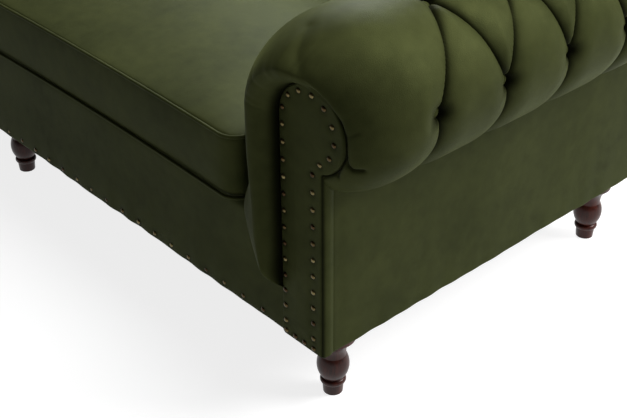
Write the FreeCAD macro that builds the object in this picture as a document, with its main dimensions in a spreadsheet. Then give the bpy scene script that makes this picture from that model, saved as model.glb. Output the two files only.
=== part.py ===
import FreeCAD, Part
import math
import os
from types import SimpleNamespace

import Sketcher
from FreeCAD import Vector

# A chesterfield sofa for three: rolled, deep-buttoned arms and back of one height, two loose seat
# cushions, a hardwood frame on sinuous springs, and six turned feet.
# The origin is on the floor below the middle of the sofa, +Z is up and the front faces -Y.
# Right is the +X side. Each piece of the right side is modelled once and mirrored to the left.

doc = FreeCAD.newDocument("Sofa")

# Driving sizes in millimetres, unless the note says otherwise.
# Heights are above the base's lower edge and insets are from the base's outer wall.
SIZES = [
    ("base_width", 2070, "outer width of the upholstered base"),
    ("base_depth", 840, "front of the arm facings to the outside back"),
    ("foot_height", 125, "floor to the base's lower edge"),
    ("seat_height", 208, "base's lower edge to the plane under the cushions"),
    ("skin", 3, "outside panels: card and velvet"),
    ("soft_gap", 0.3, "air between a soft piece and what it lies on"),
    ("roll_height", 432, "height of the roll's centre"),
    ("roll_inset", 28, "inset of the roll's centre"),
    ("roll_radius", 135, "outer radius of the padded roll"),
    ("crown_radius", 140, "radius of the roll at its crown"),
    ("arm_thickness", 195, "outer wall to the arm's inner face"),
    ("back_thickness", 235, "outer wall to the foot of the back's inner face"),
    ("core_radius", 96, "radius of the foam in the roll"),
    ("core_depth", 150, "outer wall to the foam's inner face"),
    ("tuft_radius", 110, "radius at which buttons hold the cover down"),
    ("inner_tuft_radius", 136, "the same on the inner side of the roll"),
    ("pleat_depth", 9, "how far a pleat is drawn in half way between buttons"),
    ("outer_row_angle", 2, "degrees: outer button row, from the outward direction"),
    ("crown_row_angle", 83, "degrees: crown button row"),
    ("inner_row_angle", 164, "degrees: inner button row"),
    ("under_roll_angle", 40, "degrees: middle of the roll's underside, below the outer row"),
    ("first_tuft", 140, "facing plane to the first outer button"),
    ("tuft_pitch", 150, "distance between buttons in a row"),
    ("arm_tufts", 5, "count: outer buttons on an arm"),
    ("back_tufts", 12, "count: outer buttons on the back"),
    ("front_puff", 35, "how far the arm's padding swells in front of its facing"),
    ("cheek_foot", 84, "height of the lowest padding beside the facing"),
    ("cheek_shoulder", 200, "height at which the padding reaches the arm's full thickness"),
    ("cheek_rise", 42, "middle of the padding's slanted foot, above its lowest point"),
    ("cheek_pull", 36, "the same, inside the arm's inner face"),
    ("cheek_edge", 4, "width of the padding at its lowest point"),
    ("facing_thickness", 12, "padded facing panel"),
    ("scroll_radius", 72, "radius of the facing's round head"),
    ("scroll_inset", 27, "inset of the head's centre"),
    ("scroll_drop", 17, "head's centre below the roll's centre"),
    ("board_thickness", 25, "scroll-shaped front board of the arm"),
    ("rail_thickness", 28, "seat rails, uprights and tack rails"),
    ("rail_drop", 38, "seat rails' top edge below the plane under the cushions"),
    ("top_rail_width", 90, "rail inside each roll"),
    ("top_rail_height", 40, "rail inside each roll"),
    ("tack_rail_height", 60, "rail above the seat that the inner cover is tacked to"),
    ("panel_thickness", 5, "ply panel behind the inner padding"),
    ("post_size", 60, "square rear corner posts"),
    ("block_length", 90, "square blocks that carry the feet"),
    ("block_height", 45, "the same blocks"),
    ("cross_rail_drop", 10, "centre cross rail below the seat rails' top edge"),
    ("border_step", 10, "front border behind the facing plane"),
    ("border_thickness", 6, "velvet and wadding on the front rail"),
    ("edge_roll_depth", 45, "foam roll along the front edge"),
    ("deck_thickness", 24, "felt pad on the springs"),
    ("dust_cover_thickness", 1.2, "cloth under the base"),
    ("dust_cover_gap", 2, "air between a foot and its hole in that cloth"),
    ("spring_wire", 4, "diameter of the sinuous spring wire"),
    ("spring_count", 10, "count: springs, front to back"),
    ("spring_pitch", 26, "distance between a spring's cross runs"),
    ("spring_span", 44, "width of a spring over its loops' centres"),
    ("spring_end", 30, "straight wire at each end of a spring"),
    ("clip_width", 24, "steel clip that holds a spring's end"),
    ("clip_length", 22, "the same clip, along the spring"),
    ("clip_wall", 1.5, "metal above and below the wire"),
    ("cushion_gap", 1.5, "air round each seat cushion"),
    ("cushion_overhang", 12, "cushion front ahead of the facing plane"),
    ("boxing_height", 117, "cushion height between its two piped edges"),
    ("cushion_crown", 28, "rise of the cushion's top above its piping"),
    ("cushion_corner", 38, "corner radius of the cushion in plan"),
    ("cushion_draw", 6, "how far the sides pull in between the corners"),
    ("boxing_inset", 1, "middle of the cushion's side inside its widest line"),
    ("cushion_wall", 22, "velvet and wadding round the cushion's foam"),
    ("piping_radius", 2.5, "cord in the cushion's seams"),
    ("button_radius", 11, "covered buttons"),
    ("button_height", 7, "covered buttons"),
    ("nail_pitch", 31, "nails in the facing's two columns"),
    ("nail_head_pitch", 28.7, "nails round the scroll"),
    ("nail_base_pitch", 22.3, "nails along the facing's lower edge"),
    ("nail_head_radius", 4.8, "domed brass nail"),
    ("nail_head_height", 2.6, "domed brass nail"),
    ("nail_pin_radius", 0.9, "domed brass nail"),
    ("nail_pin_length", 17, "domed brass nail"),
    ("nail_outer_column", 24, "inset of the outer column of nails"),
    ("nail_inner_column", 91, "inset of the inner column of nails"),
    ("nail_circle_radius", 57, "nails round the scroll"),
    ("nail_circle_start", 16, "highest nail of the inner column below the scroll's centre"),
    ("nail_neck_angle", -61, "degrees: where the nails leave that circle"),
    ("nail_slant", 26, "height in which the nail line slants to the outer column"),
    ("nail_foot", 28, "height of the lowest nails of the columns"),
    ("nail_base", 7, "height of the nails along the facing's lower edge"),
    ("border_nail_base", 12, "height of the nails along the front border"),
    ("border_nail_pitch", 52, "nails along the front border"),
    ("border_nail_margin", 58, "facing's edge to the first nail of the border"),
    ("foot_side_inset", 41, "foot's axis inside the outer side"),
    ("foot_front_inset", 60, "foot's axis behind the facing plane"),
    ("foot_rear_inset", 84, "foot's axis ahead of the outside back"),
    ("foot_toe_radius", 17, "turned foot at the floor"),
    ("foot_waist", 1.5, "how much wider the foot is above and below its ring"),
    ("foot_ring_radius", 22.5, "turned ring above the toe"),
    ("foot_ring_level", 26, "floor to the ring"),
    ("foot_ring_half", 6, "half of the ring's height"),
    ("foot_ball_radius", 28, "turned ball"),
    ("foot_ball_level", 57, "floor to the ball"),
    ("foot_neck_radius", 22.5, "neck above the ball"),
    ("foot_neck_level", 81, "floor to the neck"),
    ("foot_top_radius", 39, "foot where it meets the base"),
    ("foot_flange", 7, "straight rim at the foot's top"),
    ("bolt_radius", 4, "hanger bolt of each foot"),
    ("bolt_gap", 0.1, "air round the bolt"),
    ("bolt_in_foot", 30, "bolt below the base's lower edge"),
    ("bolt_in_block", 41, "bolt above the base's lower edge"),
    ("nut_barrel_radius", 5.6, "tee nut in the block"),
    ("nut_barrel_length", 14, "tee nut in the block"),
    ("nut_flange_radius", 8.5, "tee nut in the block"),
    ("nut_flange_height", 1.6, "tee nut in the block"),
]

sheet = doc.addObject("Spreadsheet::Sheet", "Sizes")
for row, (name, value, note) in enumerate(SIZES, start=1):
    sheet.set(f"A{row}", name)
    sheet.set(f"B{row}", str(value))
    sheet.set(f"C{row}", note)
    sheet.setAlias(f"B{row}", name)
doc.recompute()


class Size:
    """A number and the sheet expression that gives it, so that a property can be bound to it."""

    def __init__(self, value, text):
        self.value = float(value)
        self.text = text

    def __float__(self):
        return self.value

    def joined(self, other, sign, value):
        return Size(value, f"({self.text} {sign} {as_size(other).text})")

    def __add__(self, other):
        return self.joined(other, "+", self.value + float(other))

    def __sub__(self, other):
        return self.joined(other, "-", self.value - float(other))

    def __mul__(self, other):
        return self.joined(other, "*", self.value * float(other))

    def __truediv__(self, other):
        return self.joined(other, "/", self.value / float(other))

    def __radd__(self, other):
        return as_size(other) + self

    def __rsub__(self, other):
        return as_size(other) - self

    def __rmul__(self, other):
        return as_size(other) * self

    def __neg__(self):
        return self * -1


def as_size(number):
    return number if isinstance(number, Size) else Size(number, f"({number})")


S = SimpleNamespace()
for name, value, note in SIZES:
    setattr(S, name, Size(sheet.get(name), f"Sizes.{name}"))

# Planes that several pieces share.
ZERO = as_size(0)
roll_overhang = S.roll_radius - S.roll_inset
half = S.base_width / 2
facing_y = S.front_puff - (S.front_puff + S.base_depth + roll_overhang) / 2
rear_y = facing_y + S.base_depth
board_y = facing_y + S.facing_thickness
frame_y = board_y + S.board_thickness
border_y = facing_y + S.border_step
rail_y = border_y + S.border_thickness
base_z = S.foot_height
seat_z = base_z + S.seat_height
rail_z = seat_z - S.rail_drop
roll_z = base_z + S.roll_height
rail_top_z = roll_z - S.top_rail_height
scroll_height = S.roll_height - S.scroll_drop
rail_inset = S.skin + S.rail_thickness
facing_inset = S.scroll_inset + S.scroll_radius
top_rail_outer = S.roll_inset - S.top_rail_width / 2
top_rail_inner = S.roll_inset + S.top_rail_width / 2
panel_inset = facing_inset + S.panel_thickness
tack_inset = facing_inset - S.rail_thickness
soft_seat_z = seat_z - S.soft_gap

pieces = {}
mirrored = []


def keep(obj, label):
    """Name a finished piece, which gives its file the same name."""
    obj.Label = label
    pieces[label] = obj
    return obj


def keep_pair(obj, name):
    """Keep the right-hand piece and note that the left-hand one is its mirror image."""
    keep(obj, "right_" + name)
    mirrored.append(name)
    return obj


def place(obj, x=ZERO, y=ZERO, z=ZERO):
    for axis, size in (("x", x), ("y", y), ("z", z)):
        obj.setExpression(f"Placement.Base.{axis}", as_size(size).text)


def block(label, x, y, z):
    """A box from pairs of low and high coordinates."""
    box = doc.addObject("Part::Box", label)
    for prop, (low, high) in (("Length", x), ("Width", y), ("Height", z)):
        box.setExpression(prop, (as_size(high) - low).text)
    place(box, x[0], y[0], z[0])
    return box


def feature(label, shape):
    obj = doc.addObject("Part::Feature", label)
    obj.Shape = shape
    obj.Placement = FreeCAD.Placement()
    return obj


def inset_x(outer, inner):
    """The x range on the right side between two insets, the outer one first."""
    return half - inner, half - outer


def inset_rear(outer, inner):
    """The y range at the back between two insets, the outer one first."""
    return rear_y - inner, rear_y - outer


# Sketches: every corner, arc point and circle is held by distances bound to the sheet.

def flat(point):
    return Vector(float(point[0]), float(point[1]), 0)


def hold(sketch, geometry, end, point):
    for kind, size in (("DistanceX", point[0]), ("DistanceY", point[1])):
        index = sketch.addConstraint(Sketcher.Constraint(kind, -1, 1, geometry, end, float(size)))
        sketch.setExpression(f"Constraints[{index}]", as_size(size).text)


def new_sketch(body, role, name="Outline"):
    sketch = body.newObject("Sketcher::SketchObject", name)
    plane = [item for item in body.Origin.OriginFeatures if item.Role == role][0]
    sketch.AttachmentSupport = [(plane, "")]
    sketch.MapMode = "FlatFace"
    return sketch


def draw_outline(sketch, start, steps):
    """A closed outline. A step is its end point, or an arc's middle point and its end point."""
    here = start
    joints = []
    for step in steps:
        end = step[-1]
        if len(step) == 1:
            geometry = sketch.addGeometry(Part.LineSegment(flat(here), flat(end)), False)
            first, last = 1, 2
        else:
            middle = step[0]
            arc = Part.Arc(flat(here), flat(middle), flat(end))
            geometry = sketch.addGeometry(arc, False)
            swapped = (sketch.getPoint(geometry, 1) - flat(here)).Length > 1e-6
            first, last = (2, 1) if swapped else (1, 2)
            point = sketch.addGeometry(Part.Point(flat(middle)), True)
            hold(sketch, point, 1, middle)
            sketch.addConstraint(Sketcher.Constraint("PointOnObject", point, 1, geometry))
        hold(sketch, geometry, first, here)
        joints.append((geometry, first, last))
        here = end
    for (geometry, _, last), (other, first, _) in zip(joints, joints[1:] + joints[:1]):
        sketch.addConstraint(Sketcher.Constraint("Coincident", geometry, last, other, first))


def draw_circle(sketch, centre, radius):
    circle = Part.Circle(flat(centre), Vector(0, 0, 1), float(radius))
    geometry = sketch.addGeometry(circle, False)
    hold(sketch, geometry, 3, centre)
    index = sketch.addConstraint(Sketcher.Constraint("Radius", geometry, float(radius)))
    sketch.setExpression(f"Constraints[{index}]", as_size(radius).text)


def pad(body, sketch, length, name="Pad"):
    solid = body.newObject("PartDesign::Pad", name)
    solid.Profile = sketch
    solid.setExpression("Length", as_size(length).text)
    return solid


def turned(label, start, steps):
    """A body of revolution about its own vertical axis."""
    body = doc.addObject("PartDesign::Body", label)
    sketch = new_sketch(body, "XZ_Plane", "Profile")
    draw_outline(sketch, start, steps)
    solid = body.newObject("PartDesign::Revolution", "Turning")
    solid.Profile = sketch
    solid.ReferenceAxis = (sketch, ["V_Axis"])
    solid.Angle = 360
    return body


def copies(label, master, moves):
    """A group of separate solids: the master's shape at each placement."""
    doc.recompute()
    shapes = []
    for move in moves:
        shape = master.Shape.copy()
        shape.Placement = move.multiply(master.Shape.Placement)
        shapes.append(shape)
    return feature(label, Part.makeCompound(shapes))


def shift(x=0, y=0, z=0, rotation=None):
    return FreeCAD.Placement(Vector(float(x), float(y), float(z)), rotation or FreeCAD.Rotation())


# Hardwood base: the rails stand on edge, butted between the arms' front boards and side rails.

side_x = inset_x(S.skin, rail_inset)
front_span = (facing_inset - half, half - facing_inset)
between_sides = (rail_inset - half, half - rail_inset)
front_rail_y = (rail_y, rail_y + S.rail_thickness)
back_rail_y = inset_rear(S.skin, rail_inset)
base_height = (base_z, rail_z)

keep_pair(block("SideRail", side_x, (frame_y, rear_y - S.skin), base_height), "side_rail")
keep(block("FrontRail", front_span, front_rail_y, base_height), "front_rail")
keep(block("BackRail", between_sides, back_rail_y, base_height), "back_rail")

half_rail = S.rail_thickness / 2
block_top = base_z + S.block_height
cross_rail = block(
    "CrossRail",
    (-half_rail, half_rail),
    (front_rail_y[1], back_rail_y[0]),
    (block_top, rail_z - S.cross_rail_drop),
)
keep(cross_rail, "centre_cross_rail")

# Feet: six places, each with a block, a tee nut, a hanger bolt and a turned foot.

foot_front_y = facing_y + S.foot_front_inset
foot_rear_y = rear_y - S.foot_rear_inset
foot_side_x = half - S.foot_side_inset
foot_places = {
    "front_left": (-foot_side_x, foot_front_y),
    "front_centre": (ZERO, foot_front_y),
    "front_right": (foot_side_x, foot_front_y),
    "rear_left": (-foot_side_x, foot_rear_y),
    "rear_centre": (ZERO, foot_rear_y),
    "rear_right": (foot_side_x, foot_rear_y),
}
foot_moves = [shift(x, y) for x, y in foot_places.values()]
bore_radius = S.bolt_radius + S.bolt_gap
ring_low = S.foot_ring_level - S.foot_ring_half
ring_high = S.foot_ring_level + S.foot_ring_half
ring_waist = S.foot_toe_radius + S.foot_waist
flare_z = S.foot_height - S.foot_flange
flare_out, flare_up = 0.24, 0.6
flare_middle = (
    S.foot_neck_radius + (S.foot_top_radius - S.foot_neck_radius) * flare_out,
    S.foot_neck_level + (flare_z - S.foot_neck_level) * flare_up,
)
bore_floor = S.foot_height - S.bolt_in_foot - S.bolt_gap
foot_profile = [
    [(S.foot_toe_radius, ZERO)],
    [(ring_waist, ring_low)],
    [(S.foot_ring_radius, S.foot_ring_level), (ring_waist, ring_high)],
    [(S.foot_ball_radius, S.foot_ball_level), (S.foot_neck_radius, S.foot_neck_level)],
    [flare_middle, (S.foot_top_radius, flare_z)],
    [(S.foot_top_radius, S.foot_height)],
    [(bore_radius, S.foot_height)],
    [(bore_radius, bore_floor)],
    [(ZERO, bore_floor)],
    [(ZERO, ZERO)],
]
for name, (x, y) in foot_places.items():
    foot = turned("Foot_" + name, (ZERO, ZERO), foot_profile)
    place(foot, x, y)
    keep(foot, name + "_foot")

bolt = doc.addObject("Part::Cylinder", "BoltMaster")
bolt.setExpression("Radius", S.bolt_radius.text)
bolt.setExpression("Height", (S.bolt_in_foot + S.bolt_in_block).text)
place(bolt, z=base_z - S.bolt_in_foot)
keep(copies("Bolts", bolt, foot_moves), "foot_bolts")

nut_profile = [
    [(S.nut_barrel_radius, ZERO)],
    [(S.nut_barrel_radius, S.nut_barrel_length)],
    [(S.nut_flange_radius, S.nut_barrel_length)],
    [(S.nut_flange_radius, S.nut_barrel_length + S.nut_flange_height)],
    [(bore_radius, S.nut_barrel_length + S.nut_flange_height)],
    [(bore_radius, ZERO)],
]
nut = turned("NutMaster", (bore_radius, ZERO), nut_profile)
nut_z = block_top - S.nut_barrel_length - S.nut_flange_height
place(nut, z=nut_z)
keep(copies("Nuts", nut, foot_moves), "foot_tee_nuts")


def foot_block(label, x, y):
    """A block bored for the tee nut of the foot at its place, with a seat for the nut's flange."""
    body = doc.addObject("PartDesign::Body", label)
    outline = new_sketch(body, "XY_Plane")
    corners = [(x[1], y[0]), (x[1], y[1]), (x[0], y[1]), (x[0], y[0])]
    draw_outline(outline, (x[0], y[0]), [[corner] for corner in corners])
    draw_circle(outline, (ZERO, ZERO), S.nut_barrel_radius)
    pad(body, outline, S.block_height)
    doc.recompute()
    seat = new_sketch(body, "XY_Plane", "FlangeSeat")
    seat.setExpression("AttachmentOffset.Base.z", S.block_height.text)
    draw_circle(seat, (ZERO, ZERO), S.nut_flange_radius)
    pocket = body.newObject("PartDesign::Pocket", "FlangePocket")
    pocket.Profile = seat
    pocket.setExpression("Length", S.nut_flange_height.text)
    place(body, z=base_z)
    return body


side_reach = (S.foot_side_inset - rail_inset - S.block_length, S.foot_side_inset - rail_inset)
centre_reach = (-S.block_length / 2, S.block_length / 2)
front_back = front_rail_y[1] - foot_front_y
front_reach = (front_back, front_back + S.block_length)
rear_back = back_rail_y[0] - foot_rear_y
rear_reach = (rear_back - S.block_length, rear_back)
left_reach = (-side_reach[1], -side_reach[0])
block_shapes = []
for name, (x, y) in foot_places.items():
    along_x = left_reach if "left" in name else side_reach if "right" in name else centre_reach
    along_y = front_reach if "front" in name else rear_reach
    master = foot_block("Block_" + name, along_x, along_y)
    block_shapes.append((master, shift(x, y)))
doc.recompute()
blocks = []
for master, move in block_shapes:
    shape = master.Shape.copy()
    shape.Placement = move.multiply(shape.Placement)
    blocks.append(shape)
keep(feature("Blocks", Part.makeCompound(blocks)), "foot_blocks")

# Arm and back frames.

post_inner = rail_inset + S.post_size
upright_height = (rail_z, rail_top_z)
arm_middle_y = (frame_y + rear_y) / 2
tack_height = (seat_z, seat_z + S.tack_rail_height)
top_rail_height = (rail_top_z, roll_z)
panel_height = (seat_z, rail_top_z)

post = block("Post", inset_x(rail_inset, post_inner), inset_rear(rail_inset, post_inner),
             (block_top, rail_top_z))
keep_pair(post, "rear_post")
arm_upright = block("ArmUpright", inset_x(S.skin, tack_inset),
                    (arm_middle_y - half_rail, arm_middle_y + half_rail), upright_height)
keep_pair(arm_upright, "arm_upright")
arm_top_rail = block("ArmTopRail", inset_x(top_rail_outer, top_rail_inner),
                     (frame_y, rear_y - top_rail_inner), top_rail_height)
keep_pair(arm_top_rail, "arm_top_rail")
arm_tack_rail = block("ArmTackRail", inset_x(tack_inset, facing_inset),
                      (frame_y, rear_y - facing_inset), tack_height)
keep_pair(arm_tack_rail, "arm_tack_rail")
arm_panel = block("ArmPanel", inset_x(facing_inset, panel_inset),
                  (frame_y, rear_y - facing_inset), panel_height)
keep_pair(arm_panel, "arm_inner_panel")

back_top_rail = block("BackTopRail", (top_rail_outer - half, half - top_rail_outer),
                      inset_rear(top_rail_outer, top_rail_inner), top_rail_height)
keep(back_top_rail, "back_top_rail")
back_tack_rail = block("BackTackRail", (post_inner - half, half - post_inner),
                       inset_rear(tack_inset, facing_inset), tack_height)
keep(back_tack_rail, "back_tack_rail")
back_panel = block("BackPanel", (panel_inset - half, half - panel_inset),
                   inset_rear(facing_inset, panel_inset), panel_height)
keep(back_panel, "back_inner_panel")
uprights = []
for number, middle in enumerate((-half / 2, ZERO, half / 2), start=1):
    upright = block(f"BackUpright{number}", (middle - half_rail, middle + half_rail),
                    inset_rear(S.skin, tack_inset), upright_height)
    uprights.append(upright)
group = doc.addObject("Part::Compound", "BackUprights")
group.Links = uprights
keep(group, "back_uprights")


# The scroll: the outline of the arm's front board and of its facing, seen from the front.
# In the sketch the first coordinate is the distance inwards from the roll's outermost line.

def scroll_body(label, thickness, y):
    edge = roll_overhang
    centre = (edge + S.scroll_inset, scroll_height)
    neck_rise = math.sqrt(float(S.scroll_radius) ** 2 - float(S.scroll_inset - S.skin) ** 2)
    neck_text = (
        f"sqrt(pow({S.scroll_radius.text}; 2) - pow({(S.scroll_inset - S.skin).text}; 2))"
    )
    neck = (edge + S.skin, scroll_height - Size(neck_rise, neck_text))
    body = doc.addObject("PartDesign::Body", label)
    sketch = new_sketch(body, "XZ_Plane", "Scroll")
    draw_outline(sketch, (edge + S.skin, ZERO), [
        [neck],
        [(centre[0] - S.scroll_radius, centre[1]), (centre[0], centre[1] + S.scroll_radius)],
        [(centre[0] + S.scroll_radius * math.sqrt(0.5), centre[1] + S.scroll_radius * math.sqrt(0.5)),
         (centre[0] + S.scroll_radius, centre[1])],
        [(edge + facing_inset, ZERO)],
        [(edge + S.skin, ZERO)],
    ])
    pad(body, sketch, thickness)
    body.Placement.Rotation = FreeCAD.Rotation(Vector(0, 0, 1), 180)
    place(body, half + roll_overhang, y, base_z)
    return body


board = scroll_body("FrontBoard", S.board_thickness, board_y)
keep_pair(board, "arm_front_board")
facing = scroll_body("Facing", S.facing_thickness, facing_y)
keep_pair(facing, "arm_facing")

# Outside panels, front border and the seat's suspension.

wall_height = (base_z, base_z + S.roll_height - S.roll_radius)
keep_pair(block("OutsideArm", inset_x(ZERO, S.skin), (facing_y + S.skin, rear_y), wall_height),
          "outside_arm")
keep(block("OutsideBack", (S.skin - half, half - S.skin), inset_rear(ZERO, S.skin), wall_height),
     "outside_back")
keep(block("FrontBorder", front_span, (border_y, rail_y), (base_z, soft_seat_z)), "front_border")

wire_radius = S.spring_wire / 2
clip_height = S.spring_wire + S.clip_wall * 2
wire_z = rail_z + S.clip_wall + wire_radius
edge_roll = block("EdgeRoll", front_span, (rail_y, rail_y + S.edge_roll_depth),
                  (rail_z + clip_height, soft_seat_z))
keep(edge_roll, "front_edge_roll")
deck_y = (rail_y + S.edge_roll_depth, rear_y - facing_inset)
deck = block("Deck", (panel_inset - half, half - panel_inset), deck_y,
             (soft_seat_z - S.deck_thickness, soft_seat_z))
keep(deck, "seat_deck")

dust_cover = doc.addObject("PartDesign::Body", "DustCover")
cloth = new_sketch(dust_cover, "XY_Plane")
cloth_x = half - rail_inset
cloth_y = (rail_y, rear_y - S.skin)
draw_outline(cloth, (-cloth_x, cloth_y[0]), [
    [(cloth_x, cloth_y[0])],
    [(cloth_x, cloth_y[1])],
    [(-cloth_x, cloth_y[1])],
    [(-cloth_x, cloth_y[0])],
])
pad(dust_cover, cloth, S.dust_cover_thickness)
doc.recompute()
foot_holes = new_sketch(dust_cover, "XY_Plane", "FootHoles")
for x, y in foot_places.values():
    draw_circle(foot_holes, (x, y), S.foot_top_radius + S.dust_cover_gap)
hole_cut = dust_cover.newObject("PartDesign::Pocket", "FootHolesCut")
hole_cut.Profile = foot_holes
hole_cut.Type = "ThroughAll"
hole_cut.Midplane = True
place(dust_cover, z=base_z - S.dust_cover_thickness)
keep(dust_cover, "dust_cover")


def sinuous_spring():
    """One flat zigzag of wire that runs front to back, its loops joined by quarter arcs."""
    start_y = float(rail_y) + float(S.clip_length) / 4
    end_y = float(rear_y - S.skin) - float(S.clip_length) / 4
    pitch = float(S.spring_pitch)
    bend = pitch / 2
    side = float(S.spring_span) / 2 - bend
    runs = int((end_y - start_y - 2 * float(S.spring_end)) / pitch)
    runs -= runs % 2
    first_y = (start_y + end_y - (runs - 1) * pitch) / 2
    diagonal = bend * math.sqrt(0.5)
    edges = [Part.LineSegment(Vector(0, start_y, 0), Vector(0, first_y - bend, 0))]
    edges.append(Part.Arc(
        Vector(0, first_y - bend, 0),
        Vector(bend - diagonal, first_y - bend + diagonal, 0),
        Vector(bend, first_y, 0),
    ))
    here = Vector(bend, first_y, 0)
    for run in range(runs):
        way = 1 if run % 2 == 0 else -1
        y = first_y + run * pitch
        last = run == runs - 1
        turn = Vector(bend if last else way * side, y, 0)
        edges.append(Part.LineSegment(here, turn))
        if last:
            break
        tip = Vector(way * (side + bend), y + bend, 0)
        after = Vector(way * side, y + pitch, 0)
        low = Vector(way * (side + diagonal), y + bend - diagonal, 0)
        high = Vector(way * (side + diagonal), y + bend + diagonal, 0)
        edges.append(Part.Arc(turn, low, tip))
        edges.append(Part.Arc(tip, high, after))
        here = after
    end_turn = Vector(0, y + bend, 0)
    edges.append(Part.Arc(turn, Vector(bend - diagonal, y + bend - diagonal, 0), end_turn))
    edges.append(Part.LineSegment(end_turn, Vector(0, end_y, 0)))
    path = Part.Wire([edge.toShape() for edge in edges])
    circle = Part.Circle(Vector(0, start_y, 0), Vector(0, 1, 0), float(wire_radius)).toShape()
    spring = path.makePipeShell([Part.Wire(circle)], True, False)
    expected = path.Length * math.pi * float(wire_radius) ** 2
    print("spring: runs", runs, "volume", round(spring.Volume), "expected", round(expected))
    return spring


spring_master = feature("SpringMaster", sinuous_spring())
spring_pitch_x = (float(half - panel_inset) * 2) / float(S.spring_count)
spring_xs = [
    (number - (float(S.spring_count) - 1) / 2) * spring_pitch_x
    for number in range(int(float(S.spring_count)))
]
keep(copies("Springs", spring_master, [shift(x, 0, wire_z) for x in spring_xs]), "seat_springs")

clip_x = S.clip_width / 2
clip_body = block("ClipBody", (-clip_x, clip_x), (ZERO, S.clip_length), (rail_z, rail_z + clip_height))
clip_bore = doc.addObject("Part::Cylinder", "ClipBore")
clip_bore.setExpression("Radius", (wire_radius + S.bolt_gap).text)
clip_bore.setExpression("Height", (S.clip_length * 3).text)
clip_bore.Placement.Rotation = FreeCAD.Rotation(Vector(1, 0, 0), -90)
place(clip_bore, y=-S.clip_length, z=wire_z)
clip_master = doc.addObject("Part::Cut", "ClipMaster")
clip_master.Base = clip_body
clip_master.Tool = clip_bore
clip_moves = [shift(x, rail_y) for x in spring_xs]
clip_moves += [shift(x, rear_y - S.skin - S.clip_length) for x in spring_xs]
keep(copies("Clips", clip_master, clip_moves), "spring_clips")

# Soft forms of the arms and the back.
# A section is drawn in two numbers: the inset from the outer wall, and the height above the base.
# Its angle is measured at the roll's centre from the outward direction, over the crown, inwards.

inset_c = float(S.roll_inset)
height_c = float(S.roll_height)
skin_in = float(S.skin)
mid_face_rise, low_face_rise = 0.75, 0.3


def polar(angle, radius, centre=(inset_c, height_c)):
    turn = math.radians(angle)
    return centre[0] - radius * math.cos(turn), centre[1] + radius * math.sin(turn)


def oval_radius(angle, depth, radius):
    """The radius of an oval as deep as the arm on its inner side and as high as the roll."""
    turn = math.radians(angle)
    reach = depth - inset_c
    across = radius * math.cos(turn)
    along = reach * math.sin(turn)
    return reach * radius / math.sqrt(across ** 2 + along ** 2)


def on_wall(radius, centre=(inset_c, height_c)):
    """Where a circle's underside meets the plane behind the outside panel."""
    return skin_in, centre[1] - math.sqrt(radius ** 2 - (centre[0] - skin_in) ** 2)


def foam_edge():
    """The foam's outer boundary: from the inner foot, over the roll, to the outer wall."""
    core = float(S.core_radius)
    depth = float(S.core_depth)
    return [
        ((depth, float(S.seat_height)), (depth, height_c)),
        ((depth, height_c), polar(135, oval_radius(135, depth, core)), polar(90, core)),
        (polar(90, core), polar(0, core), on_wall(core)),
    ]


def cover_edge(pinched_rows, thickness):
    """The cover's outer boundary, from the seam under the roll to its inner foot."""
    radius = float(S.roll_radius)
    crown = float(S.crown_radius)
    pleat = float(S.pleat_depth)
    outer, middle, inner = (
        float(S.outer_row_angle), float(S.crown_row_angle), float(S.inner_row_angle))
    depth = float(S.arm_thickness)
    at_wall = on_wall(radius)
    side_pinched = pinched_rows == "sides"
    crown_pinched = pinched_rows == "crown"
    a = polar(outer, float(S.tuft_radius) if side_pinched else radius)
    b = polar(middle, float(S.tuft_radius) if crown_pinched else crown)
    full = oval_radius(inner, depth, crown)
    c = polar(inner, float(S.inner_tuft_radius) if side_pinched else full)
    drawn = pleat if pinched_rows else 0
    outer_mid = (outer + middle) / 2
    inner_mid = (middle + inner) / 2
    under = outer - float(S.under_roll_angle)
    low_drawn = drawn if side_pinched else 0
    seat = float(S.seat_height)
    mid_face = (depth - low_drawn, seat + (height_c - seat) * mid_face_rise)
    face = ((depth + thickness - low_drawn) / 2, seat + (height_c - seat) * low_face_rise)
    foot = (thickness, seat)
    return [
        (at_wall, polar(under, radius - low_drawn), a),
        (a, polar(outer_mid, radius - drawn), b),
        (b, polar(inner_mid, oval_radius(inner_mid, depth, crown) - drawn), c),
        (c, mid_face, face),
        (face, foot),
    ]


def arc_edges(parts, to_space):
    """Edges of straight pieces, two points, and of arcs, three points."""
    edges = []
    for part in parts:
        points = [to_space(point) for point in part]
        if len(points) == 3:
            edges.append(Part.Arc(*points).toShape())
        else:
            edges.append(Part.LineSegment(*points).toShape())
    return edges


def shell_section(pinched_rows, thickness, to_space):
    """The closed ring between the cover's outside and the foam."""
    outside = cover_edge(pinched_rows, thickness)
    inside = foam_edge()
    ring = outside + [(outside[-1][-1], inside[0][0])] + inside + [(inside[-1][-1], outside[0][0])]
    return Part.Wire(arc_edges(ring, to_space))


def foam_section(to_space):
    """The foam's closed section, with its flat inner side on the ply panel."""
    edge = foam_edge()
    wall = edge[-1][-1]
    panel = float(panel_inset)
    ring = edge + [
        (wall, (panel, wall[1])),
        ((panel, wall[1]), (panel, float(S.seat_height))),
        ((panel, float(S.seat_height)), edge[0][0]),
    ]
    return Part.Wire(arc_edges(ring, to_space))


def in_arm(y):
    return lambda point: Vector(float(half) - point[0], y, float(base_z) + point[1])


def in_back(x):
    return lambda point: Vector(x, float(rear_y) - point[0], float(base_z) + point[1])


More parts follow.
